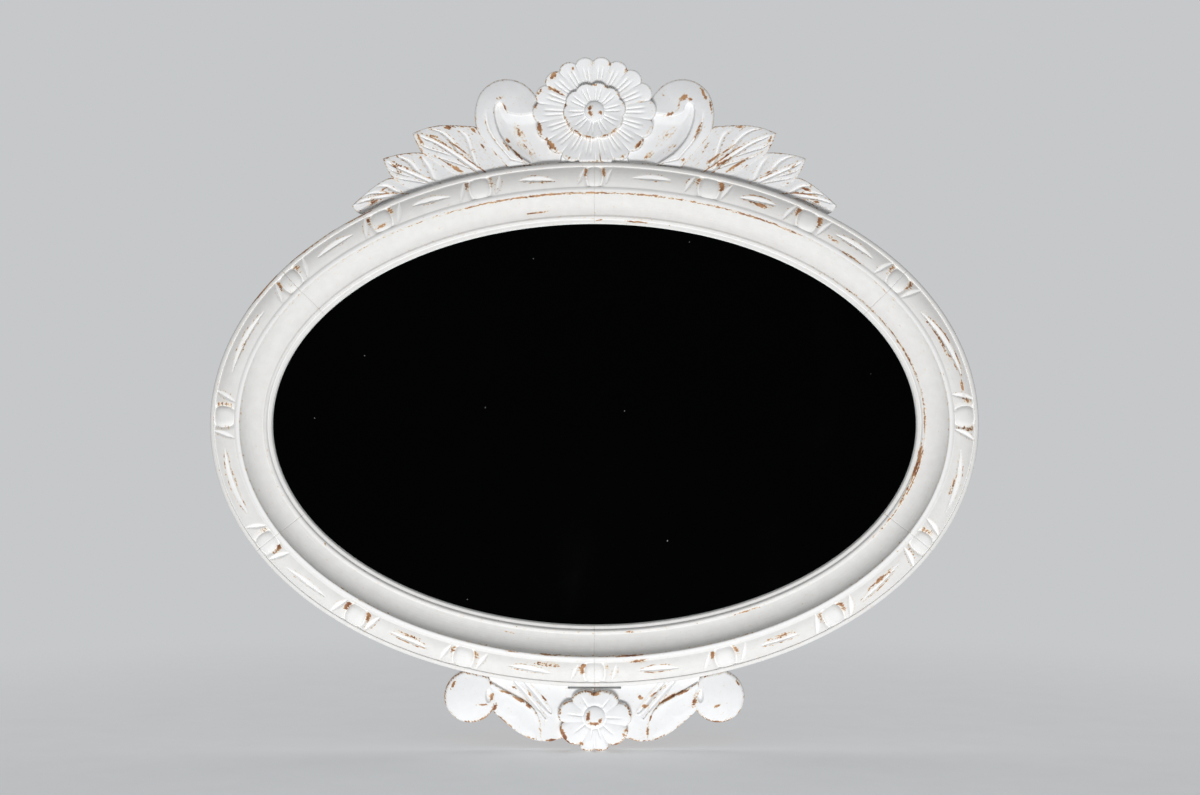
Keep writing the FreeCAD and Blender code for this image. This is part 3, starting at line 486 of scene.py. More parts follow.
# %% Model the crest flower
FLOWER_MIDDLE = (0.0, RING_TOP + 52.7)
PETALS = dict(half=(64.4, 56.7), petals=18, first=91.6, notch=0.075)
HEART = dict(half=(32.5, 29.5), petals=10, first=97, notch=0.085)
CREST_BOARD, FOOT_SUNK = 14.0, 0.4
PETAL_ROOT, PETAL_RISE, PETAL_LINE = 6.2, 3.6, 1.4
HEART_ROOT, HEART_RISE, HEART_LINE, HEART_START = 9.6, 3.0, 1.3, 10
BUTTON_RADIUS, BUTTON_FOOT, BUTTON_RISE = 10.4, 10.2, 4.3
LEAST_LINE, GRAIN_ROUND = 0.3, 30
PETAL_POINTS, FLOWER_RINGS = 44, 96


def petal_edge(angle, half, petals, first, notch):
    """Reach of a round-ended petal outline at this angle, and the place across the petal from 0 to 1."""
    place = ((angle - math.radians(first)) * petals / (2 * math.pi)) % 1
    ellipse = 1 / np.hypot(np.cos(angle) / half[0], np.sin(angle) / half[1])
    return ellipse * (1 - notch * np.abs(2 * place - 1) ** 2.4), place


def flower_surface(x, z, from_edge):
    dx, dz = x - FLOWER_MIDDLE[0], z - FLOWER_MIDDLE[1]
    angle, reach = np.arctan2(dz, dx), np.hypot(dx, dz)
    edge, place = petal_edge(angle, **PETALS)
    heart, heart_place = petal_edge(angle, **HEART)
    out = np.clip((reach - heart) / (edge - heart), 0, 1)
    petal = PETAL_ROOT + PETAL_RISE * out + (0.5 + 1.2 * out) * (1 - (2 * place - 1) ** 2)
    breadth = edge * 2 * math.pi / PETALS["petals"] * 0.8
    line = hump((np.abs(place - 0.5) - 0.15) * breadth, 1.3) * ease(0.72 - out, 0, 0.3)
    petal -= PETAL_LINE * line
    petal -= 1.1 * hump((0.5 - np.abs(place - 0.5)) * reach * 0.35, 0.9) * ease(out, 0.5, 0.95)
    petal -= eased_edge(from_edge, 2.6)
    bowl = np.clip((reach - HEART_START) / (heart - HEART_START), 0, 1)
    lobe = HEART_ROOT + HEART_RISE * bowl + 0.9 * bowl * (1 - (2 * heart_place - 1) ** 2)
    groove = hump((np.abs(heart_place - 0.5) - 0.17) * reach * 0.55, 0.8)
    groove = groove * ease(bowl, 0.02, 0.15) * ease(0.85 - bowl, 0, 0.3)
    lobe -= HEART_LINE * groove + eased_edge(np.clip(heart - reach, 0, None), 1.6)
    button = np.maximum(BUTTON_FOOT + BUTTON_RISE * dome(reach, BUTTON_RADIUS), HEART_ROOT)
    lobe = np.where(reach < BUTTON_RADIUS, button, lobe)
    height = CREST_BOARD + petal + (lobe - petal) * ease(heart - reach, -0.5, 0.7)
    rub_and_highlight = EDGE_RUB * hump(from_edge - 0.5, 1.5) + 0.4 * hump(reach - heart + 0.5, 1.2)
    # The gouge lines in the petals and the heart are painted whiter: a painted highlight, partly also paint
    # pooled in them.
    fresh_paint_and_highlight = np.where(reach > heart + 1, line, groove * (reach < heart))
    return height, np.where(fresh_paint_and_highlight > LEAST_LINE, -fresh_paint_and_highlight, rub_and_highlight), reach, angle * GRAIN_ROUND


spread = np.linspace(0, 2 * math.pi, PETALS["petals"] * PETAL_POINTS, endpoint=False) - math.pi / 2
flower_edge = round_line(spread, petal_edge(spread, **PETALS)[0], FLOWER_MIDDLE)
made["crest_flower"] = make_disc("crest_flower_carved", flower_edge, FLOWER_MIDDLE, FLOWER_RINGS,
                                 flower_surface, CREST_BOARD - FOOT_SUNK)
print("crest flower:", len(made["crest_flower"].data.polygons), "faces")

# %% [markdown]
# ## Lines drawn on a carving
# The ear's hollow, the apron's ribs and its long gouges follow lines. A place's height depends on how
# far it is from such a line, so one helper measures that, and another tells which places a closed
# line goes round.

# %% Measure from a line
def from_line(x, z, line):
    """Distance to a line, and how far along the line its nearest point is, in millimetres."""
    best, run = np.full(x.shape, np.inf), np.zeros(x.shape)
    start = 0.0
    for a, b in zip(line, line[1:]):
        side = b - a
        length = math.hypot(*side)
        t = np.clip(((x - a[0]) * side[0] + (z - a[1]) * side[1]) / length**2, 0, 1)
        gap = np.hypot(x - a[0] - t * side[0], z - a[1] - t * side[1])
        run = np.where(gap < best, start + t * length, run)
        best = np.minimum(best, gap)
        start += length
    return best, run


def within(x, z, loop):
    """True where a closed line goes round the place."""
    crossings = np.zeros(x.shape, int)
    for a, b in zip(loop, np.roll(loop, -1, 0)):
        if a[1] != b[1]:
            level = (a[1] > z) != (b[1] > z)
            crossings += level & (x < (b[0] - a[0]) * (z - a[1]) / (b[1] - a[1]) + a[0])
    return crossings % 2 == 1


def crest_line(count, *points):
    """A smooth line through places measured upwards from the ring's top."""
    return smooth_line([(x, RING_TOP + rise) for x, rise in points], count)


def apron_line(count, *points):
    """A smooth line through places measured downwards from the ring's foot."""
    return smooth_line([(x, -RING_TOP - drop) for x, drop in points], count)


print("line helpers are ready")

# %% [markdown]
# ## The crest's ears
# Beside the flower a band rises from the ring, rolls over and curls into an eye, like the end of a
# scroll. Inside the curl lies a smooth hollow. The band carries one incised line along its lower
# half. The right wing is modelled here and the left one is its mirror image, as the carver worked
# from one pattern turned over. A thin plate behind the flower fills the gap between the two ears.

# %% Draw the ear's lines
ear_outer = crest_line(330, (88, -9), (99, 4), (110.5, 16), (119, 27), (123.6, 37.5), (124.8, 54),
                       (119.5, 72), (107, 83.6), (91.5, 87.3), (76, 83.4), (65, 74.5), (56, 62))
ear_inner = crest_line(80, (56, 62), (44, 57), (30, 44), (14, 24), (6, 8), (6, -0.4))[1:]
ear_foot = crest_line(90, (6, -0.4), (34, -2), (60, -5), (88, -9))[1:-1]
hollow_band = crest_line(40, (58, -8), (67, -1), (82, 9), (92.5, 20), (99.5, 32), (103.5, 45), (104.6, 55))
hollow_eye = crest_line(40, (104.6, 55), (102.6, 60.6), (98, 62.8), (94.6, 60), (92.3, 54.5),
                        (86.5, 50.6), (77, 49.6), (64, 51), (42, 53))[1:]
hollow_line = np.vstack((hollow_band, hollow_eye))
hollow_loop = np.vstack((hollow_line, [(30, RING_TOP + 20), (40, RING_TOP - 12)]))
print("the ear's band is", round(run_along(ear_outer)[-1]), "mm long on its outside")

# %% Model one ear
EAR_MIDDLE, EAR_RINGS, EAR_GRAIN_START = (78, RING_TOP + 34), 84, 300
EAR_RIM, EAR_SWELL, EAR_LINE, EAR_FLOOR = 15.4, 5.0, 2.3, 14.6


def ear_surface(x, z, from_edge):
    gap = from_line(x, z, hollow_line)[0]
    inside = np.where(within(x, z, hollow_loop), gap, -gap)
    out = np.clip(-inside, 0, None)
    share = out / (out + from_edge + 1e-6)
    low = ease(RING_TOP + 56 - z, 0, 18)
    line = 0.6 * hump(share - 0.16, 0.12) - EAR_LINE * hump(share - 0.4, 0.075)
    band = EAR_RIM + EAR_SWELL * (1 - share**1.7) + low * line
    band -= eased_edge(from_edge, 2.6)
    floor = EAR_FLOOR - 3.0 * ease(inside, 0, 12) + 0.045 * (100 - x)
    height = band + (floor - band) * ease(inside, -0.9, 1.1)
    rub_and_highlight = EDGE_RUB * hump(from_edge - 0.5, 1.4) + low * 0.34 * hump(share - 0.46, 0.06)
    dx, dz = x - EAR_MIDDLE[0], z - RING_TOP
    return height, rub_and_highlight, dx * 0.66 + dz * 0.75 + EAR_GRAIN_START, dx * 0.75 - dz * 0.66


ear_edge = np.vstack((ear_outer, ear_inner, ear_foot))
ear = make_disc("crest_ear", ear_edge, EAR_MIDDLE, EAR_RINGS, ear_surface)
print("ear:", len(ear.data.polygons), "faces")

# %% Fill in behind the flower
PLATE_HALF, PLATE_MIDDLE, PLATE_RINGS = (59, 51), (26, FLOWER_MIDDLE[1]), 8
PLATE_EDGE, PLATE_FOOT_END, PLATE_BACK, PLATE_SUNK = 0.1, 12, 0.1, 0.5


def plate_surface(x, z, from_edge):
    return CREST_BOARD - PLATE_SUNK - eased_edge(from_edge, 0.6), 0 * x, z, x


turn = np.radians(np.linspace(-75, 90, 90))
plate_round = np.column_stack((PLATE_EDGE + PLATE_HALF[0] * np.cos(turn),
                               FLOWER_MIDDLE[1] + PLATE_HALF[1] * np.sin(turn)))
plate_fall = np.linspace(PLATE_HALF[1], -PLATE_HALF[1], 60)[1:-1]
plate_side = np.column_stack((np.full(len(plate_fall), PLATE_EDGE), FLOWER_MIDDLE[1] + plate_fall))
foot_x = np.linspace(PLATE_EDGE, PLATE_FOOT_END, 8)
plate_foot = np.column_stack((foot_x, ring_edge(foot_x) + 0.02))
plate = make_disc("crest_back_plate", np.vstack((plate_round, plate_side, plate_foot)), PLATE_MIDDLE,
                  PLATE_RINGS, plate_surface, PLATE_BACK)
print("plate behind the flower:", len(plate.data.polygons), "faces")

# %% [markdown]
# ## The crest's leaves
# Each leaf is a long flat pad with a pointed end. Its rib is one long gouge cut that gets narrower
# towards the point, and two shorter cuts leave it at a slant on each side.
# A leaf is laid on three lines, its upper edge, its rib and its lower edge, so that the grid itself
# runs the way the gouge went. Leaf by leaf the crest gets lower towards its ends.

# %% Model the leaves
LEAF_COLUMNS, LEAF_ROWS = 150, 76
LEAF_HEIGHT, LEAF_SWELL, LEAF_CUT = 12.8, 1.8, 2.5
VEINS, BROAD_ENOUGH = (0.08, 0.34), (6, 14)
LEAVES = {
    "first": dict(
        upper=[(84, -9), (98, 8), (112, 26), (123, 36.6), (133, 38.4), (157.7, 39.3), (173.2, 37),
               (182, 34.2), (190, 31)],
        rib=[(112, -14.5), (128.2, -3.6), (145.5, 8.5), (163, 19.6), (178, 26), (190, 31)],
        lower=[(133, -18), (146, -11.4), (159.4, -3.6), (172, 4.4), (179.4, 9.8), (184.2, 17.4),
               (187.8, 25), (190, 31)],
        lift=1.6, back=0.3),
    "second": dict(
        upper=[(122, -15), (140, -6), (158, 4), (172, 9.4), (184, 10.8), (195.7, 10.3), (207.8, 8.4),
               (215, 6.6), (221, 4.6)],
        rib=[(158, -25.5), (176.8, -17.5), (194.2, -9.9), (210, -3), (221, 4.6)],
        lower=[(180, -33), (190, -28.4), (201.1, -22.7), (209.6, -17.2), (214.6, -10.4), (218.4, -2.6),
               (221, 4.6)],
        lift=0.4, back=0.6),
    "third": dict(
        upper=[(178, -29), (190, -22), (202, -16.6), (212.9, -15.6), (220.5, -18.4), (229.5, -24),
               (237.1, -29.8), (246, -37.5), (253.6, -44.6)],
        rib=[(190, -35.5), (205, -34.6), (221, -35.6), (237, -38.6), (253.6, -44.6)],
        lower=[(204, -39.5), (216, -43.2), (228, -48), (238, -52.6), (243.6, -53), (249, -50.6),
               (253.6, -44.6)],
        lift=-0.8, back=0.9),
}


def make_leaf(name, upper, rib, lower, lift, back):
    upper, rib, lower = (crest_line(LEAF_COLUMNS + 1, *line)[:, None] for line in (upper, rib, lower))
    t = np.concatenate((np.linspace(-1, 1, LEAF_ROWS + 1), (1, 1, 0, -1, -1, -1)))[None, :]
    side = np.where(t[..., None] < 0, upper - rib, lower - rib)
    x, z = np.moveaxis(rib + side * np.abs(t)[..., None], 2, 0)
    u = np.linspace(0, 1, LEAF_COLUMNS + 1)[:, None]
    half = np.hypot(side[..., 0], side[..., 1])
    beside = np.abs(t) * half
    length = run_along(rib[:, 0])[-1]
    point, broad = ease(half, 0, 4), ease(half, *BROAD_ENOUGH)
    cut = hump(beside, 2.6 - 1.7 * u) * ease(0.95 - u, 0, 0.15) * point
    for start in VEINS:
        gap = (u - start - 0.6 * np.abs(t) ** 0.85) * length * 0.55
        vein = hump(gap, 2.2 - 1.3 * np.abs(t)) * ease(beside, 2.5, 6) * ease(0.86 - np.abs(t), 0, 0.35)
        cut = np.maximum(cut, vein * broad)
    height = LEAF_HEIGHT + lift + LEAF_SWELL * (1 - np.abs(t)) * point - 1.5 * u**3 - LEAF_CUT * cut
    height -= eased_edge(np.minimum(half - beside, (1 - u) * 90), 1.5)
    number = np.arange(LEAF_ROWS + 7)[None, :]
    on_top = (number <= LEAF_ROWS) | (number == LEAF_ROWS + 6)
    on_wall = (number == LEAF_ROWS + 1) | (number == LEAF_ROWS + 5)
    height = np.where(on_top, height, np.where(on_wall, back + WALL_LINE * (height - back), back))
    rub_and_highlight = EDGE_RUB * hump(half - beside - 0.4, 1.4) * ease(u, 0.2, 0.4)
    rub_and_highlight = rub_and_highlight + 0.4 * hump(beside - 3.4, 1.1) * (t < 0) + 0.5 * hump(cut - 0.12, 0.1) * broad
    rub_and_highlight += 0.2 * ease(u, 0.93, 1)
    # The rib and the vein cuts are painted whiter: a painted highlight, partly also paint pooled in them.
    rub_and_highlight = np.where(cut > 0.35, -cut, rub_and_highlight) * on_top
    along = np.broadcast_to(u * 100 + lift * 90, x.shape)
    return carve(f"crest_{name}_leaf", x, height, z, rub_and_highlight, along, t * half)


leaves = [make_leaf(name, **leaf) for name, leaf in LEAVES.items()]
print("leaves:", [len(leaf.data.polygons) for leaf in leaves], "faces")

# %% Join the right wing and turn its pattern over
TWIN_GRAIN = 417.0


def select_only(*pieces):
    """Select these objects and no others. The first is the active one."""
    bpy.ops.object.select_all(action="DESELECT")
    for piece in pieces:
        piece.select_set(True)
    bpy.context.view_layer.objects.active = pieces[0]


def mirror_copy(piece):
    """The piece's mirror image on the other side of the middle, with a mesh of its own."""
    select_only(piece)
    bpy.ops.object.duplicate()
    twin = bpy.context.object
    bpy.ops.object.mode_set(mode="EDIT")
    bpy.ops.mesh.select_all(action="SELECT")
    bpy.ops.transform.resize(value=(-1, 1, 1), center_override=(0, 0, 0))
    bpy.ops.mesh.normals_make_consistent(inside=False)
    bpy.ops.object.mode_set(mode="OBJECT")
    write_mark(twin.data, "grain", read(twin.data.attributes["grain"].data, "vector", 3) + TWIN_GRAIN)
    return twin


def keep_pair(parts, head, tail):
    """Join the parts of the right-hand piece, and keep it and its mirror image."""
    select_only(*parts)
    bpy.ops.object.join()
    for side, piece in (("right", parts[0]), ("left", mirror_copy(parts[0]))):
        made[f"{head}_{side}_{tail}"] = piece
        piece.name = piece.data.name = f"{head}_{side}_{tail}_carved"
    print(f"each {head} {tail}:", len(parts[0].data.polygons), "faces")


keep_pair([ear, plate] + leaves, "crest", "wing")

# %% [markdown]
# ## The apron's flower
# Below the ring hangs a smaller flower with eight full petals and a button. Its notches and its
# single gouge lines aren't evenly spaced on the real one, so their angles are written down one by
# one. A narrow slit of light stays open between the flower and the ring.

# %% Model the apron flower
APRON_MIDDLE, APRON_HALF, APRON_BOARD = (0.0, -RING_TOP - 35.0), (39.4, 32.4), 13.0
BUTTON_UP = 4
APRON_PETAL, APRON_FALL, APRON_LINE = 12.2, 3.0, 1.3
APRON_BUTTON_RADIUS, APRON_BUTTON_FOOT, APRON_BUTTON_RISE = 11.2, 11.3, 3.7
APRON_POINTS, APRON_RINGS = 520, 72
GRAIN_START = {"flower": 900, "volute": 1500, "lobe": 1700, "web": 1900}
NOTCHES = np.radians((-120, -90, -60, -9, 35, 92, 140, 183, 240))
GROOVES = np.radians((-142, -101, -73, -43, -3, 51, 122, 174))


def apron_edge(angle):
    """Reach of the outline at this angle, and the place across the petal from 0 to 1."""
    turned = (angle - NOTCHES[0]) % (2 * math.pi) + NOTCHES[0]
    number = np.clip(np.searchsorted(NOTCHES, turned, side="right") - 1, 0, len(NOTCHES) - 2)
    width = NOTCHES[number + 1] - NOTCHES[number]
    place = (turned - NOTCHES[number]) / width
    ellipse = 1 / np.hypot(np.cos(angle) / APRON_HALF[0], np.sin(angle) / APRON_HALF[1])
    return ellipse * (1 - 0.16 * width * np.abs(2 * place - 1) ** 2.8), place


def apron_flower_surface(x, z, from_edge):
    dx, dz = x - APRON_MIDDLE[0], z - APRON_MIDDLE[1] - BUTTON_UP
    angle, reach = np.arctan2(dz, dx), np.hypot(dx, dz)
    edge, place = apron_edge(np.arctan2(dz + BUTTON_UP, dx))
    out = np.clip(reach / edge, 0, 1)
    height = APRON_PETAL - APRON_FALL * out**2 + 0.7 * out * (1 - (2 * place - 1) ** 2)
    lines = np.zeros(x.shape)
    for groove in GROOVES:
        ahead = (np.cos(angle - groove) > 0) * ease(reach, 11, 14) * ease(0.8 - out, 0, 0.3)
        lines = np.maximum(lines, hump(reach * np.sin(angle - groove), 1.0) * ahead)
    height -= APRON_LINE * lines
    height -= 0.9 * hump((0.5 - np.abs(place - 0.5)) * 12, 1.0) * ease(out, 0.75, 1)
    height -= eased_edge(from_edge, 2.8) + 1.1 * hump(reach - 12, 1.6)
    button = np.maximum(APRON_BUTTON_FOOT + APRON_BUTTON_RISE * dome(reach, APRON_BUTTON_RADIUS), 10.9)
    height = np.where(reach < APRON_BUTTON_RADIUS, button, height) + APRON_BOARD
    # The gouge lines are painted whiter: a painted highlight, partly also paint pooled in them.
    rub_and_highlight = np.where(lines > LEAST_LINE, -lines, 0.5 * hump(from_edge - 0.6, 1.6))
    return height, rub_and_highlight, reach + GRAIN_START["flower"], angle * GRAIN_ROUND


spread = np.linspace(0, 2 * math.pi, APRON_POINTS, endpoint=False)
spread = np.sort(np.concatenate((spread, NOTCHES[:-1] % (2 * math.pi))))
apron_outline = round_line(spread, apron_edge(spread)[0], APRON_MIDDLE)
made["apron_flower"] = make_disc("apron_flower_carved", apron_outline, (0, APRON_MIDDLE[1] + BUTTON_UP),
                                 APRON_RINGS, apron_flower_surface, APRON_BOARD - FOOT_SUNK)
print("apron flower:", len(made["apron_flower"].data.polygons), "faces")

# %% [markdown]
# ## The apron's scrolls
# Each side of the apron has three parts in one board: a round volute with a gouged eye, a smooth lobe
# under a sharp rib, and a web between the rib and the ring with two long gouge cuts. They are three
# bosses of different heights, joined, so that their edges meet as steps, as they do in the carving.

# %% Draw the scroll's lines
rib_line = apron_line(80, (108, -4), (96, 3), (84, 9.5), (72, 16), (64, 22.5), (58.5, 31), (56, 42),
                      (55, 57.4))
lobe_belly = apron_line(90, (55, 57.4), (66, 55.6), (80, 48.6), (93, 38.4), (104.3, 28.2))[1:]
lobe_side = apron_line(40, (104.3, 28.2), (114, 14), (108, -4))[1:-1]
web_foot = apron_line(60, (55, 57.2), (46, 57.8), (36, 55), (16, 50))[1:]
web_side = apron_line(40, (16, 50), (4, 30), (0.1, 12), (0.1, 2.6))[1:]
web_slit = apron_line(30, (0.1, 2.6), (27.6, 2.6))[1:]
web_top = apron_line(120, (27.6, 2.6), (30, -9), (70, -14), (112, -18))[1:-1]
web_rib = apron_line(110, (112, -18), (108, -4), (96, 4), (84, 10.5), (72, 17), (64, 23.5), (59, 31),
                     (57, 42), (55, 57.2))
gouge_lines = (apron_line(24, (84, -6), (74, 5), (62, 19), (51, 33.5)),
               apron_line(24, (72.5, -4), (64, 5.5), (54, 18), (45.5, 28)))
print("the rib is", round(run_along(rib_line)[-1]), "mm long")

# %% Model one scroll
VOLUTE, VOLUTE_RADIUS, VOLUTE_HEIGHT = (129.5, -RING_TOP - 11), 27.2, 19.4
EYE, EYE_HALF, EYE_DEPTH = (110.5, -RING_TOP - 10), (3.4, 7.5), 4.2
LOBE_MIDDLE, LOBE_HEIGHT = (80, -RING_TOP - 31), 15.4
WEB_MIDDLE, WEB_HEIGHT = (47, -RING_TOP - 22), 15.0
RIB_FADE_END, RIB_FADE = 72.0, 30.0
WEB_GOUGE_LENGTH, WEB_GOUGE_DEPTH = 42, 1.9
VOLUTE_POINTS, VOLUTE_RINGS, LOBE_RINGS, WEB_RINGS = 340, 52, 50, 72
LOBE_BACK, WEB_BACK = 0.3, 0.6


def volute_surface(x, z, from_edge):
    dx, dz = x - VOLUTE[0], z - VOLUTE[1]
    height = VOLUTE_HEIGHT - 3.4 * (np.hypot(dx, dz) / VOLUTE_RADIUS) ** 2 - eased_edge(from_edge, 3.4)
    eye = np.hypot((x - EYE[0]) / EYE_HALF[0], (z - EYE[1]) / EYE_HALF[1])
    height -= EYE_DEPTH * np.clip(1 - eye**2, 0, None)
    along = dx * 0.6 + dz * 0.8 + GRAIN_START["volute"]
    return height, SCROLL_RUB * hump(from_edge - 0.5, 1.5), along, dx * 0.8 - dz * 0.6


def lobe_surface(x, z, from_edge):
    gap, run = from_line(x, z, rib_line)
    crisp = ease(RIB_FADE_END - run, 0, RIB_FADE)
    fall = (1 - np.clip(from_edge / 17, 0, 1)) ** 2
    rib = crisp * (1.6 * hump(gap, 12) + 0.8 * hump(gap - 2, 2.4))
    height = LOBE_HEIGHT + rib - 1.9 * fall * ease(gap, 1, 12)
    height -= eased_edge(from_edge, 1.6) * ease(gap + 20 * crisp, 0, 6)
    return height, SCROLL_RUB * hump(from_edge - 0.5, 1.4), run + GRAIN_START["lobe"], gap


def web_surface(x, z, from_edge):
    height = WEB_HEIGHT - eased_edge(from_edge, 1.0) * (np.abs(x - 57) > 4)
    rub_and_highlight = 0.4 * hump(from_edge - 0.5, 1.3) * (z < -RING_TOP - 50)
    gap, run = from_line(x, z, rib_line)
    height -= 1.1 * ease(7 - gap, 0, 6) * ease(RIB_FADE_END - run, 0, RIB_FADE)
    for line in gouge_lines:
        gap, run = from_line(x, z, line)
        share = run / WEB_GOUGE_LENGTH
        width = 0.6 + 2.0 * dome(2 * share - 1, 1)
        height -= WEB_GOUGE_DEPTH * ease(width - gap, -0.2, width)
        height += 0.5 * hump(gap - width - 0.8, 0.9)
        rub_and_highlight = np.maximum(rub_and_highlight, 0.3 * hump(gap - width - 0.6, 1.0) * ease(share, 0.02, 0.2))
    return height, rub_and_highlight, (x + z) * 0.7 + GRAIN_START["web"], (x - z) * 0.7


turn = np.linspace(0, 2 * math.pi, VOLUTE_POINTS, endpoint=False)
volute_edge = round_line(turn, VOLUTE_RADIUS, VOLUTE)
volute = make_disc("apron_volute", volute_edge, VOLUTE, VOLUTE_RINGS, volute_surface)
lobe_edge = np.vstack((rib_line, lobe_belly, lobe_side))
lobe = make_disc("apron_lobe", lobe_edge, LOBE_MIDDLE, LOBE_RINGS, lobe_surface, LOBE_BACK)
web_edge = np.vstack((web_foot, web_side, web_slit, web_top, web_rib))
web = make_disc("apron_web", web_edge, WEB_MIDDLE, WEB_RINGS, web_surface, WEB_BACK)
keep_pair([volute, lobe, web], "apron", "scroll")

# %% [markdown]
# ## The worn places
# Some places on the real frame are worn right through: the right-hand curl, the rims on the left of
# both flowers, the rib of the first leaf, the eyes of the volutes. They aren't the same on both
# sides, so they are written down one by one, as a painter would note where to rub. Each is a place,
# the way it runs in degrees, half its length and half its breadth in millimetres, and how hard it was
# rubbed. On the wings the second number is the height above the ring's top, and on the apron the
# depth below its foot. On the ring a mark is an angle and a distance outwards, and on the crest's
# flower an angle and a share of the reach.

# %% Place marks on the flower and on the ring
def flower_rubs(half, *rubs):
    """Marks on the crest's flower, with their half lengths outwards and round."""
    marks = []
    for angle, share, *rest in rubs:
        a = math.radians(angle)
        reach = share / math.hypot(math.cos(a) / half[0], math.sin(a) / half[1])
        x = FLOWER_MIDDLE[0] + reach * math.cos(a)
        z = FLOWER_MIDDLE[1] + reach * math.sin(a)
        marks.append((x, z, angle, *rest))
    return marks


def ring_rubs(*rubs):
    """Marks that run along the ring, given as an angle and a distance outwards."""
    marks = []
    for angle, across, *rest in rubs:
        a = math.radians(angle)
        x, z = ring_place(a, across)
        marks.append((float(x), float(z), math.degrees(ring_lean(a)) + 90, *rest))
    return marks


print("marks can be placed by angle on the flower and on the ring")

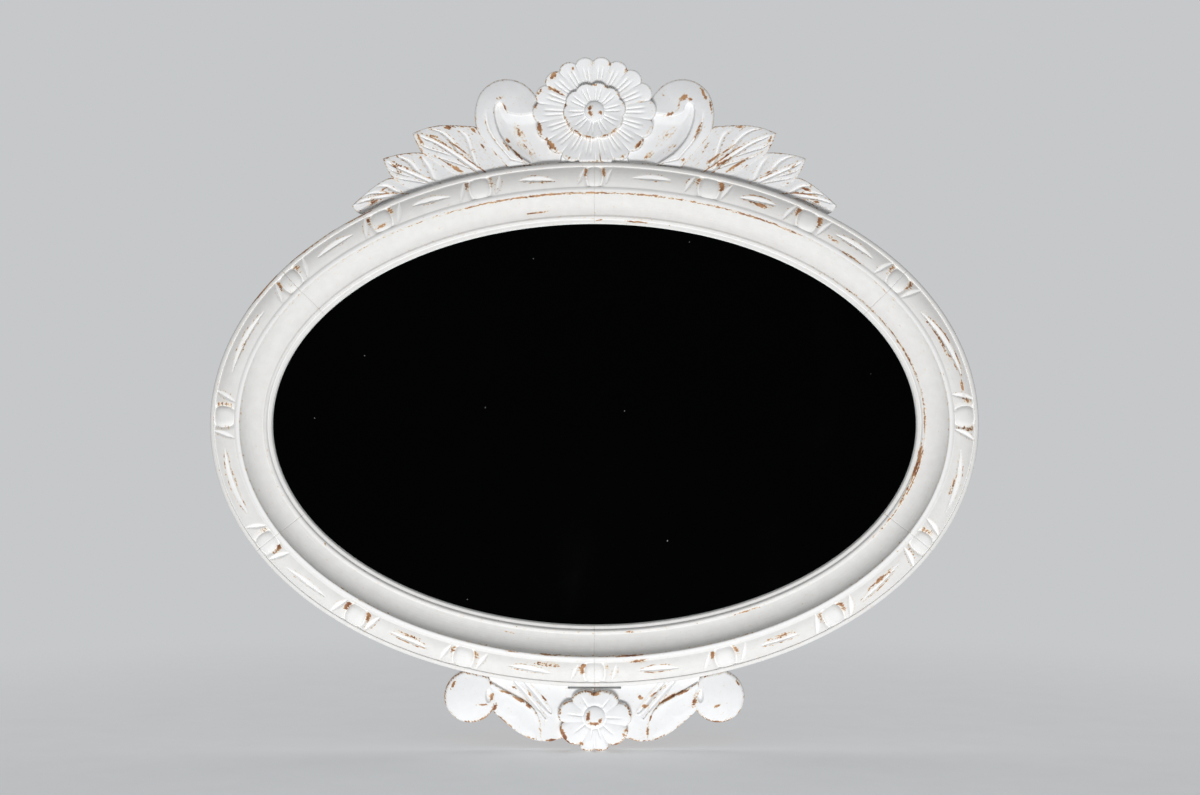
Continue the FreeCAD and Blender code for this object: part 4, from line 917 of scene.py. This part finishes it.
# %% Note the worn places
WEAR = {
    "rail_right": ring_rubs(
        (1, 6.8, 22, 1, 0.75), (-7.5, 5.6, 14, 1.6, 1), (-12.5, 5.6, 14, 1.6, 0.95),
        (-19, 6, 14, 1.2, 0.75), (17, 44, 16, 2, 0.75), (-13, 46, 15, 2, 0.72)) + [
        (386.6, 24.9, -22, 6, 2.6, 1.15), (381.6, 40, -80, 10, 1.4, 0.85)],
    "rail_top_right": ring_rubs(
        (82.5, 3, 12, 1, 0.9), (89, 3, 4, 1.2, 0.8), (43, 36, 14, 1.5, 0.8), (62, 44, 12, 2.2, 0.75),
        (48, 42, 9, 2, 0.75)),
    "rail_top_left": ring_rubs(
        (140, 61.6, 40, 0.8, 0.9), (130, 61.6, 20, 0.8, 0.8), (100, 14, 14, 1.2, 0.75),
        (127, 42, 8, 2, 0.75), (98, 44, 14, 1.6, 0.65)),
    "rail_left": ring_rubs(
        (152, 61.6, 30, 0.8, 0.85), (192, 45, 16, 1.6, 0.75), (163, 46, 12, 1.6, 0.65)),
    "rail_bottom_left": ring_rubs(
        (-98, 31, 14, 1.1, 0.9), (-104, 31.5, 8, 1, 0.8), (-98.3, 41, 16, 3.5, 0.72),
        (-105, 14, 9, 1.1, 0.75), (-122, 43, 14, 2, 0.7)),
    "rail_bottom_right": ring_rubs(
        (-84, 31, 20, 1.1, 0.85), (-82.4, 37, 12, 2, 0.7), (-83.7, 7.6, 6, 1.2, 0.85),
        (-63, 9, 18, 1.2, 0.8), (-58, 44, 14, 2.4, 0.72), (-37, 44, 15, 2, 0.75)),
    "crest_flower": flower_rubs(
        PETALS["half"], (152, 0.74, 9, 2.6, 1.05), (139, 0.93, 2.6, 6, 1), (117, 0.86, 3, 1.6, 0.8),
        (93, 0.88, 3.2, 2, 0.8), (93, 0.68, 2.4, 1.6, 0.55), (72, 0.9, 3.6, 2, 0.9),
        (52, 0.92, 3.6, 2, 0.9), (12, 0.78, 6, 1.4, 0.8), (176, 0.95, 1.8, 5, 0.8),
        (197, 0.94, 2.4, 7, 1.1), (219, 0.94, 2.6, 9, 1.15), (241, 0.95, 1.8, 4, 0.8),
        (277, 0.85, 7, 0.9, 0.8), (301, 0.95, 1.6, 5, 0.7), (322, 0.94, 1.8, 7, 0.9),
        (340, 0.95, 1.6, 5, 0.8), (30, 0.96, 1.4, 4, 0.6), (160, 0.95, 1.6, 4, 0.7)) + flower_rubs(
        HEART["half"], (232, 0.93, 1.3, 6, 0.9), (258, 0.93, 1.4, 7, 1), (292, 0.93, 1.4, 6, 1),
        (314, 0.93, 1.3, 6, 0.9), (33, 0.95, 1.3, 5, 0.8), (14, 0.95, 1.3, 3, 0.7), (90, 0.92, 1.5, 4, 0.8),
        (64, 0.92, 1.6, 4, 0.9), (168, 0.95, 1.3, 5, 0.7), (200, 0.95, 1.2, 5, 0.6),
        (150, 0.17, 2, 3.4, 1.6), (215, 0.16, 2.2, 3.2, 1.6), (345, 0.2, 2, 2, 1.5)),
    "crest_right_wing": [
        (93, 67.6, 30, 5, 3, 1), (99.6, 65.6, 0, 2.6, 2, 0.9), (72, 70, 0, 3, 1.5, 0.6),
        (79, 50.7, 20, 7, 2, 0.9), (87.7, 58.6, 70, 4, 1.2, 0.8), (114.5, 70.5, -60, 9, 2, 0.9),
        (121, 59.6, -80, 9, 1.4, 0.8), (108.5, 34, 66, 12, 1.8, 0.95), (56, 7.2, 45, 6, 3.2, 1.1),
        (76, 29, 42, 13, 6, 0.46), (70, 22, 42, 9, 4, 0.42), (79, 14, 42, 9, 5, 0.46),
        (92, 2.2, 42, 3, 2, 0.7), (141, 15, 36, 17, 1.3, 0.75), (152, 37.4, 0, 6, 2, 0.8),
        (183, 24, 62, 6, 2, 0.8), (150, -1.5, 33, 18, 1.6, 0.85), (124, 4, 36, 10, 1.5, 0.8),
        (135, 1, 30, 12, 1.6, 0.8), (116, 16, 58, 7, 1.6, 0.7), (208, -3.5, 40, 5, 1.6, 0.8),
        (203, -9, 30, 4, 2, 0.7), (181, -10, 30, 12, 1.5, 0.7), (221, -27.5, -20, 6, 1.6, 0.8),
        (232, -40.5, -20, 7, 3, 0.6), (170, 9.2, 20, 10, 1.6, 0.6)],
    "crest_left_wing": [
        (-77, 30, -50, 12, 6, 0.48), (-80.6, 36, -50, 8, 4, 0.44), (-72.7, 18, -50, 11, 6, 0.48),
        (-66, 9, -50, 9, 5, 0.48), (-90.5, 23, -50, 3.4, 1.8, 1.1), (-93.5, 57.6, -65, 5, 1.4, 0.9),
        (-98, 67, 20, 6, 2, 0.5), (-80, 8, -48, 14, 1.6, 0.95), (-92, 17, -55, 9, 1.4, 0.8),
        (-78.6, 85.4, -40, 6, 1.4, 0.7), (-124, 45.8, 85, 4, 1.2, 0.7), (-141, 14.8, -36, 17, 1.4, 0.9),
        (-168, 27.5, -14, 8, 1.3, 0.7), (-152.4, 37.2, 0, 6, 2.4, 0.95), (-182, 24, -60, 7, 2.2, 0.7),
        (-152.4, -1.5, -33, 18, 1.6, 0.8), (-143, -7, -33, 7, 2, 1.1), (-126, 33.6, -50, 4, 1.8, 0.8),
        (-116, 15.5, -58, 8, 1.6, 0.75), (-126, 12, -50, 4, 2, 0.7), (-103, 9, -50, 2.4, 1.4, 0.8),
        (-208.5, -3.5, -40, 5, 1.6, 0.9), (-203.5, -9.3, -20, 4, 2, 0.8), (-220, -27.4, 25, 6, 1.6, 0.8),
        (-231.7, -40.6, 20, 8, 3.4, 0.6)],
    "apron_flower": [
        (-33.4, 47, -60, 10, 2, 1.1), (-27, 59, -45, 7, 2, 1), (-35.6, 24, 80, 6, 1.5, 0.7),
        (-24.3, 6.7, 55, 7, 1.6, 0.8), (25, 10.7, -55, 7, 2.4, 0.9), (36, 25, -75, 9, 1.6, 0.9),
        (32.6, 45, 65, 8, 1.6, 0.9), (24, 59, 30, 8, 1.6, 0.8), (1, 65.6, 0, 13, 1.3, 0.8),
        (-14, 59, 0, 3, 2, 0.8), (0.6, 7.4, 0, 5, 1.7, 1.1), (-6.5, 30, 80, 5, 1.9, 1.1),
        (0, 37.6, 0, 6, 1.7, 1.1), (6, 34.6, 60, 3.4, 1.7, 1)],
    "apron_left_scroll": [
        (-106.9, 10.7, 80, 4.4, 2.2, 1.2), (-116, 19, 0, 5, 1.1, 0.9), (-108, -3.5, 90, 3, 1.3, 0.8),
        (-147, -2, 60, 6, 1.6, 0.8), (-155, 18, 90, 12, 1.2, 0.6), (-133, 37, -10, 6, 1.5, 0.7),
        (-114, 33.6, 25, 8, 2, 1.1), (-104, 22, 60, 5, 2, 0.9), (-92, 6.4, -22, 9, 1.4, 0.9),
        (-79, 13.4, -30, 8, 1.7, 1.1), (-69, 20, -45, 4, 2, 1), (-83, 1.6, -40, 4, 1.6, 0.8),
        (-67.8, 7.7, -55, 5, 1.3, 0.8), (-52.6, 12.7, -52, 5, 1.2, 0.9), (-66, 54.4, -18, 12, 1.5, 0.8),
        (-44, 56.4, 4, 8, 1.6, 0.9), (-56.8, 42, 85, 10, 1.1, 0.6), (-90, 40, -38, 10, 1.2, 0.6)],
    "apron_right_scroll": [
        (104.5, 16, 70, 7, 2.4, 1.1), (107, 8, 40, 5, 1.7, 1), (128, 20, 25, 4, 1.5, 1),
        (119, -12, 30, 8, 1.8, 0.9), (149, -4, -55, 5, 1.5, 0.8), (126, 37, 0, 12, 1.4, 0.8),
        (76, 13.4, 30, 12, 1.8, 1.05), (92, 6, 22, 9, 1.6, 0.9), (58.8, 33, 75, 5, 1.2, 0.9),
        (55.6, 47, 88, 6, 1.5, 1), (48, 11.7, -40, 4, 2.2, 1.1), (52, 21, -30, 3, 2, 1),
        (61, 9.5, 35, 6, 1.2, 0.8), (68, 53.6, 22, 14, 1.4, 0.8), (70, 2, 40, 5, 1.2, 0.6)],
}
print(sum(map(len, WEAR.values())), "worn places on", len(WEAR), "pieces")

# %% Rub the worn places
FAINTEST_WEAR, WEAR_FADES = 0.15, (3.0, 12.0)


def rub_places(mesh, marks):
    spots, worn = read(mesh.vertices, "co", 3), read(mesh.attributes["rub_and_highlight"].data, "value")
    x, z = spots[:, 0] / MM, spots[:, 2] / MM
    near_front = ease(-spots[:, 1] / MM, *WEAR_FADES)
    for mark_x, mark_z, lean, half_length, half_breadth, hard in marks:
        way = math.radians(lean)
        along = (x - mark_x) * math.cos(way) + (z - mark_z) * math.sin(way)
        beside = (z - mark_z) * math.cos(way) - (x - mark_x) * math.sin(way)
        wear = hard * near_front * np.exp(-((along / half_length) ** 2) - (beside / half_breadth) ** 2)
        worn = np.where(wear > FAINTEST_WEAR, np.maximum(worn, wear), worn)
    write_mark(mesh, "rub_and_highlight", worn)


for node_name, piece in made.items():
    marks = WEAR[node_name]
    if "wing" in node_name:
        marks = [(x, RING_TOP + rise, *rest) for x, rise, *rest in marks]
    elif node_name.startswith("apron"):
        marks = [(x, -RING_TOP - drop, *rest) for x, drop, *rest in marks]
    rub_places(piece.data, marks)
    print(node_name, len(marks), "worn places")

# %% [markdown]
# ## Where hands and cloths have rubbed
# On a rubbed finish the sandpaper takes the paint off whatever stands up. Whatever lies low is
# painted whiter: partly paint that pooled there, partly a painted highlight. So each point is compared
# with its neighbours: a positive bend is an edge, and a negative one is a hollow. The bend is kept as
# one more mark for the paint to read.

# %% Mark the edges and hollows
def mark_bend(mesh):
    count = len(mesh.vertices)
    spots, facing = read(mesh.vertices, "co", 3), read(mesh.vertex_normals, "vector", 3)
    a, b = read(mesh.edges, "vertices", 2, np.int32).T
    side = spots[b] - spots[a]
    side /= np.maximum(np.linalg.norm(side, axis=1), 1e-9)[:, None]
    fall = np.bincount(a, -(side * facing[a]).sum(1), count)
    fall += np.bincount(b, (side * facing[b]).sum(1), count)
    shared = np.maximum(np.bincount(a, minlength=count) + np.bincount(b, minlength=count), 1)
    bend = fall / shared
    for _ in range(2):
        near = np.bincount(a, bend[b], count) + np.bincount(b, bend[a], count)
        bend = 0.5 * bend + 0.5 * near / shared
    write_mark(mesh, "bend", bend)
    return bend


for node_name, piece in made.items():
    bend = mark_bend(piece.data)
    print(node_name, "bend from", round(float(bend.min()), 2), "to", round(float(bend.max()), 2))

# %% [markdown]
# ## Rubbed chalk paint over wood
# The frame was painted with matt chalk paint and then rubbed through, so that ochre and red-brown
# wood shows on edges, beside the beads and in dry streaks. The paint keeps fine brush lines. It is
# whiter in the cuts and hollows, on the beads' tops and on the ridge's crown than on the flats: that
# whiter paint is a painted highlight, and in the cuts and hollows it is partly also paint that pooled
# thick. A mask decides between paint and wood: it adds the marks on the points to noise that is
# stretched along the grain, and its hard step leaves ragged edges. The crest and the apron are a
# cooler white than the ring, so the recipe is used twice.

# %% Add nodes one at a time
# A Map Range's inputs are its value, the two ends that it comes from and the two that it goes to. A
# colour Mix has its share in input 0 and its two colours in 6 and 7, and output 2 gives its colour.
def linear(hex_colour):
    """A colour written as sRGB hex, as the linear values that a shader takes."""
    parts = [int(hex_colour[k:k + 2], 16) / 255 for k in (1, 3, 5)]
    return (*[c / 12.92 if c <= 0.04045 else ((c + 0.055) / 1.055) ** 2.4 for c in parts], 1.0)


def add_node(tree, kind, inputs=(), out=0, **settings):
    """One node with its settings, its values and its links, as the socket that gives its result."""
    node = tree.nodes.new("ShaderNode" + kind)
    for name, setting in settings.items():
        setattr(node, name, setting)
    for socket, given in inputs.items() if isinstance(inputs, dict) else enumerate(inputs):
        if isinstance(given, bpy.types.NodeSocket):
            tree.links.new(given, node.inputs[socket])
        else:
            node.inputs[socket].default_value = linear(given) if isinstance(given, str) else given
    return node.outputs[out] if node.outputs else node


def new_material(name):
    """An empty material, the function that adds nodes to it, and the place that its patterns read."""
    material = bpy.data.materials.new(name)
    material.use_nodes = True
    material.node_tree.nodes.clear()
    add = partial(add_node, material.node_tree)
    return material, add, add("TexCoord", out="Object")


def per_metre(millimetres):
    """The texture scale that gives a pattern of this size on Object coordinates."""
    return 1000.0 / millimetres


print("a 10 mm pattern has the scale", per_metre(10))

# %% Mix the paint
# A dry streak is about 7 mm long and 1.3 mm broad, and a brush line 30 mm long and 0.9 mm broad.
STREAKS, BRUSH_LINES = (1 / 7.0, 1 / 1.3, 1), (1 / 30.0, 1 / 0.9, 1)


def chalk_paint(name, paint_and_highlight_hex, shade_hex):
    material, add, place = new_material(name)
    rub_and_highlight, bend = (add("Attribute", out="Fac", attribute_name=mark) for mark in ("rub_and_highlight", "bend"))
    grain = add("Attribute", out="Vector", attribute_name="grain")
    streak_way = add("Mapping", {"Vector": grain, "Scale": STREAKS})
    streak = add("TexNoise", {"Vector": streak_way, "Scale": 1, "Detail": 3})
    brush_way = add("Mapping", {"Vector": grain, "Scale": BRUSH_LINES})
    brush = add("TexNoise", {"Vector": brush_way, "Scale": 1, "Detail": 2})
    patch = add("TexNoise", {"Vector": place, "Scale": per_metre(38), "Detail": 2})
    crumb = add("TexNoise", {"Vector": place, "Scale": per_metre(2.2), "Detail": 3})
    tint = add("TexNoise", {"Vector": place, "Scale": per_metre(9), "Detail": 2})

    edges = add("MapRange", (bend, 0.04, 0.25, 0, 0.4))
    worn = add("Math", (rub_and_highlight, edges), operation="MAXIMUM")
    amount = add("MapRange", (patch, 0.4, 0.62, 0.6, 1.1))
    worn = add("Math", (worn, amount), operation="MULTIPLY")
    ragged = add("Math", (streak, 1.3, -0.65), operation="MULTIPLY_ADD")
    rough = add("Math", (crumb, 1.1, ragged), operation="MULTIPLY_ADD")
    score = add("Math", (worn, rough), operation="ADD")
    bare = add("MapRange", (score, 1, 1.07), interpolation_type="SMOOTHSTEP")
    thin = add("MapRange", (score, 0.78, 1), interpolation_type="SMOOTHSTEP")

    # Painted highlight: hollows and the marks below zero take the whiter first colour; in cuts and hollows
    # it is partly also paint that pooled thick.
    pooled_paint_and_highlight = add("MapRange", (bend, -0.02, -0.12, 0, -1))
    pooled_paint_and_highlight = add("Math", (pooled_paint_and_highlight, rub_and_highlight), operation="MINIMUM")
    toned = add("MapRange", (pooled_paint_and_highlight, -1, 0))
    mottle = add("MapRange", (tint, 0.3, 0.7, 0.72))
    toned = add("Math", (toned, mottle), operation="MULTIPLY")
    paint = add("Mix", {0: toned, 6: paint_and_highlight_hex, 7: shade_hex}, 2, data_type="RGBA")
    cream = add("Mix", {0: thin, 6: paint, 7: "#E2D3BC"}, 2, data_type="RGBA")
    depth = add("MapRange", (tint, 0.38, 0.66))
    wood = add("Mix", {0: depth, 6: "#BD8F66", 7: "#7C4A30"}, 2, data_type="RGBA")
    colour = add("Mix", {0: bare, 6: cream, 7: wood}, 2, data_type="RGBA")

    skin = add("Math", (bare, -0.6, brush), operation="MULTIPLY_ADD")
    bump = add("Bump", {"Height": skin, "Strength": 0.35, "Distance": 0.0004})
    gloss = add("MapRange", (brush, 0, 1, 0.5, 0.68))
    shader = add("BsdfPrincipled", {"Base Color": colour, "Roughness": gloss, "Normal": bump,
                                    "Specular IOR Level": 0.35})
    add("OutputMaterial", (shader,))
    return material


# The first colour is the whiter one of the painted highlights, the second the flats'.
ring_paint = chalk_paint("rubbed_chalk_paint_with_painted_highlight_ring", "#F1F1F0", "#E0DFDD")
carving_paint = chalk_paint("rubbed_chalk_paint_with_painted_highlight_carving", "#F6F6F6", "#E8E9EA")
print("chalk paint:", len(ring_paint.node_tree.nodes), "nodes")

# %% [markdown]
# ## Bare wood on the back
# Nobody paints the back of a frame. Sawn pine shows there: matt, with long grain lines that wander a
# little and short dark pores between them.

# %% Mix the bare wood
def bare_pine():
    material, add, place = new_material("sawn_pine")
    stretched = add("Mapping", {"Vector": place, "Scale": (0.06, 1, 1)})
    wander = add("TexNoise", {"Vector": place, "Scale": per_metre(120), "Detail": 2})
    lines = add("TexWave", {"Vector": stretched, "Scale": per_metre(26), "Distortion": 7, "Detail": 3,
                            "Detail Scale": 1.4}, "Fac", bands_direction="Z")
    pores = add("TexNoise", {"Vector": stretched, "Scale": per_metre(1.6), "Detail": 3})
    mixed = add("Math", (lines, 0.6, wander), operation="MULTIPLY_ADD")
    tone = add("MapRange", (mixed, 0.3, 1.1))
    board = add("Mix", {0: tone, 6: "#C9A070", 7: "#9C6F43"}, 2, data_type="RGBA")
    fleck = add("MapRange", (pores, 0.55, 0.7, 0, 0.5))
    colour = add("Mix", {0: fleck, 6: board, 7: "#7A5433"}, 2, data_type="RGBA")
    bump = add("Bump", {"Height": pores, "Strength": 0.4, "Distance": 0.0003})
    shader = add("BsdfPrincipled", {"Base Color": colour, "Roughness": 0.78, "Normal": bump})
    add("OutputMaterial", (shader,))
    return material


pine = bare_pine()
print("bare pine is mixed")

# %% [markdown]
# ## Glass, board and hangers
# The glass is a silvered float pane: a mirror, with only faint dust and a few wiped smudges that dull
# it. The board behind is hardboard, brown with pressed fibres. The pins are bright steel and the
# hangers are zinc plated, which leaves a cloudy, spangled grey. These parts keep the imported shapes,
# which are already right, and only take these finishes.

# %% Mix the other finishes
def silvered_glass():
    material, add, place = new_material("silvered_float_glass")
    smear = add("TexNoise", {"Vector": place, "Scale": per_metre(160), "Detail": 4, "Distortion": 1.2})
    specks = add("TexVoronoi", {"Vector": place, "Scale": per_metre(30)})
    dust = add("MapRange", (specks, 0.03, 0.01))
    haze = add("MapRange", (smear, 0.55, 0.8, 0, 0.05))
    dull = add("Math", (dust, 0.3, haze), operation="MULTIPLY_ADD")
    gloss = add("Math", (dull, 0.015), operation="ADD")
    colour = add("Mix", {0: dull, 6: "#E9EDEC", 7: "#C9CCCB"}, 2, data_type="RGBA")
    shader = add("BsdfPrincipled", {"Base Color": colour, "Roughness": gloss, "Metallic": 1})
    add("OutputMaterial", (shader,))
    return material


def fibre_board():
    material, add, place = new_material("pressed_hardboard")
    fibres = add("TexNoise", {"Vector": place, "Scale": per_metre(3.5), "Detail": 6, "Roughness": 0.7})
    clouds = add("TexNoise", {"Vector": place, "Scale": per_metre(70), "Detail": 2})
    mixed = add("Math", (fibres, 0.6, clouds), operation="MULTIPLY_ADD")
    tone = add("MapRange", (mixed, 0.55, 1.05))
    colour = add("Mix", {0: tone, 6: "#7B563A", 7: "#5A3C28"}, 2, data_type="RGBA")
    bump = add("Bump", {"Height": fibres, "Strength": 0.3, "Distance": 0.0003})
    shader = add("BsdfPrincipled", {"Base Color": colour, "Roughness": 0.7, "Normal": bump})
    add("OutputMaterial", (shader,))
    return material


def metal(name, light_hex, dark_hex, spangle, roughness):
    material, add, place = new_material(name)
    cloud = add("TexNoise", {"Vector": place, "Scale": per_metre(spangle), "Detail": 4})
    colour = add("Mix", {0: cloud, 6: light_hex, 7: dark_hex}, 2, data_type="RGBA")
    gloss = add("MapRange", (cloud, 0, 1, roughness - 0.08, roughness + 0.14))
    shader = add("BsdfPrincipled", {"Base Color": colour, "Roughness": gloss, "Metallic": 1})
    add("OutputMaterial", (shader,))
    return material


steel = metal("drawn_steel", "#B9BABC", "#8A8B8E", 2.0, 0.35)
plate_zinc = metal("zinc_plate", "#C4C6C6", "#94989A", 4.0, 0.36)
wire_zinc = metal("zinc_wire", "#CBCDCD", "#A0A4A6", 3.0, 0.28)
FINISHES = {
    "mirror_glass": silvered_glass(), "backing_board": fibre_board(), "backing_pins": steel,
    "hanger_left_strap": plate_zinc, "hanger_right_strap": plate_zinc, "hanger_screws": plate_zinc,
    "hanger_left_ring": wire_zinc, "hanger_right_ring": wire_zinc,
    "rail_dowels": pine, "crest_dowels": pine, "apron_dowels": pine,
}
for node_name, finish in FINISHES.items():
    nodes[node_name].data.materials.clear()
    nodes[node_name].data.materials.append(finish)
print("finishes on", len(FINISHES), "packed nodes")

# %% [markdown]
# ## Put the carvings in their places
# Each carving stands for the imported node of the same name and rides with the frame. Its front and
# sides are painted. Faces that look backwards are bare wood. Edges sharper than a set angle stay
# crisp, and everything rounder is shaded smooth.

# %% Paint, smooth and attach the carvings
BACKWARDS, SMOOTH_BELOW = 0.8, 40
for node_name, piece in made.items():
    mesh = piece.data
    mesh.materials.append(ring_paint if node_name.startswith("rail") else carving_paint)
    mesh.materials.append(pine)
    at_back = read(mesh.polygons, "normal", 3)[:, 1] > BACKWARDS
    mesh.polygons.foreach_set("material_index", at_back.astype(np.int32))
    select_only(piece)
    bpy.ops.object.shade_smooth_by_angle(angle=math.radians(SMOOTH_BELOW))
    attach(piece, "frame")
    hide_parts(node_name)
print(len(made), "carvings attached")

# %% [markdown]
# ## Floor, air and light
# The photograph's light comes from low in front: the top of the oval's hollow is bright and the
# bottom is shaded. So the main soft box is low, and the floor lets its light through. Two faint boxes
# stand at the sides, and one behind the mirror lights the floor. The air round the object is a pale
# grey that the camera and shiny things see, and a softer fill light for everything else. A mirror
# shows what stands in front of it, and there that was a dark room, so a dark cloth hangs behind the
# camera, seen by the glass alone.

# %% Lay the floor
PALE = "#C6C8CA"
FLOOR_RADIUS, FLOOR_GAP, FLOOR_FADES, FLOOR_GLOW = 1.4, 0.0015, (0.55, 1.3), 0.5
bpy.ops.object.select_all(action="DESELECT")
bpy.ops.mesh.primitive_circle_add(vertices=96, radius=FLOOR_RADIUS, fill_type="NGON",
                                  location=(0, 0, packed_box[0].z - FLOOR_GAP))
floor = bpy.context.object
floor.name = "floor"
floor.visible_shadow = False
material, add, place = new_material("pale_floor")
reach = add("VectorMath", (place,), "Value", operation="LENGTH")
grit = add("TexNoise", {"Vector": place, "Scale": per_metre(60), "Detail": 3})
tone = add("Mix", {0: grit, 6: "#CBCDCF", 7: "#C2C4C6"}, 2, data_type="RGBA")
fade = add("MapRange", (reach, *FLOOR_FADES), interpolation_type="SMOOTHSTEP")
matt = add("BsdfDiffuse", (tone,))
glow = add("Emission", (PALE, FLOOR_GLOW))
lit = add("AddShader", (matt, glow))
clear = add("BsdfTransparent")
both = add("MixShader", (fade, lit, clear))
add("OutputMaterial", (both,))
floor.data.materials.append(material)
print("floor:", 2 * FLOOR_RADIUS, "m across")

# %% Hang the dark cloth
CLOTH_AWAY, CLOTH_SIZE = -3.3, (5.0, 4.2, 1)
bpy.ops.mesh.primitive_plane_add(size=1, location=(0, CLOTH_AWAY, 0), rotation=(math.pi / 2, 0, 0))
cloth = bpy.context.object
cloth.name = "dark_cloth"
cloth.scale = CLOTH_SIZE
cloth.visible_camera = cloth.visible_diffuse = cloth.visible_shadow = cloth.visible_transmission = False
material, add, place = new_material("black_velvet")
nap = add("TexNoise", {"Vector": place, "Scale": per_metre(300), "Detail": 2})
tone = add("Mix", {0: nap, 6: "#0B0B0C", 7: "#121214"}, 2, data_type="RGBA")
shader = add("BsdfDiffuse", (tone,))
add("OutputMaterial", (shader,))
cloth.data.materials.append(material)
print("cloth:", CLOTH_SIZE[0], "by", CLOTH_SIZE[1], "m")

# %% Fill the air
FILL, FILL_STRENGTH = "#F6F6F7", 0.26
air = bpy.data.worlds.new("studio_air")
scene.world = air
air.use_nodes = True
air.node_tree.nodes.clear()
add = partial(add_node, air.node_tree)
path = add("LightPath").node.outputs
seen = add("Math", (path["Is Camera Ray"], path["Is Glossy Ray"]), operation="MAXIMUM")
seen = add("Math", (seen, path["Is Transmission Ray"]), operation="MAXIMUM")
fill = add("Background", (FILL, FILL_STRENGTH))
pale = add("Background", (PALE, 1))
both = add("MixShader", (seen, fill, pale))
add("OutputWorld", (both,))
print("air:", PALE, "to the camera, and a fill light of strength", FILL_STRENGTH)

# %% Set up the soft boxes
LAMPS = {  # place, width and height in metres, power in watts, and the height that it points at
    "low_box": ((0.0, -5.5, -3.0), (2.6, 1.3), 322.0, 4.0),
    "left_box": ((-1.9, -1.6, 0.5), (1.1, 1.1), 0.4, 0.1),
    "right_box": ((1.9, -1.6, 0.5), (1.1, 1.1), 0.4, 0.1),
    "floor_box": ((0.0, 0.6, 1.6), (2.8, 1.1), 10.0, -0.34),
}
for lamp_name, (spot, size, power, aim) in LAMPS.items():
    light = bpy.data.lights.new(lamp_name, "AREA")
    light.shape = "RECTANGLE"
    light.size, light.size_y = size
    light.energy = power
    lamp = bpy.data.objects.new(lamp_name, light)
    scene.collection.objects.link(lamp)
    lamp.location = spot
    lamp.rotation_euler = (Vector((0, 0, aim)) - Vector(spot)).to_track_quat("-Z", "Y").to_euler()
scene.view_settings.view_transform = "Standard"
print(len(LAMPS), "soft boxes")
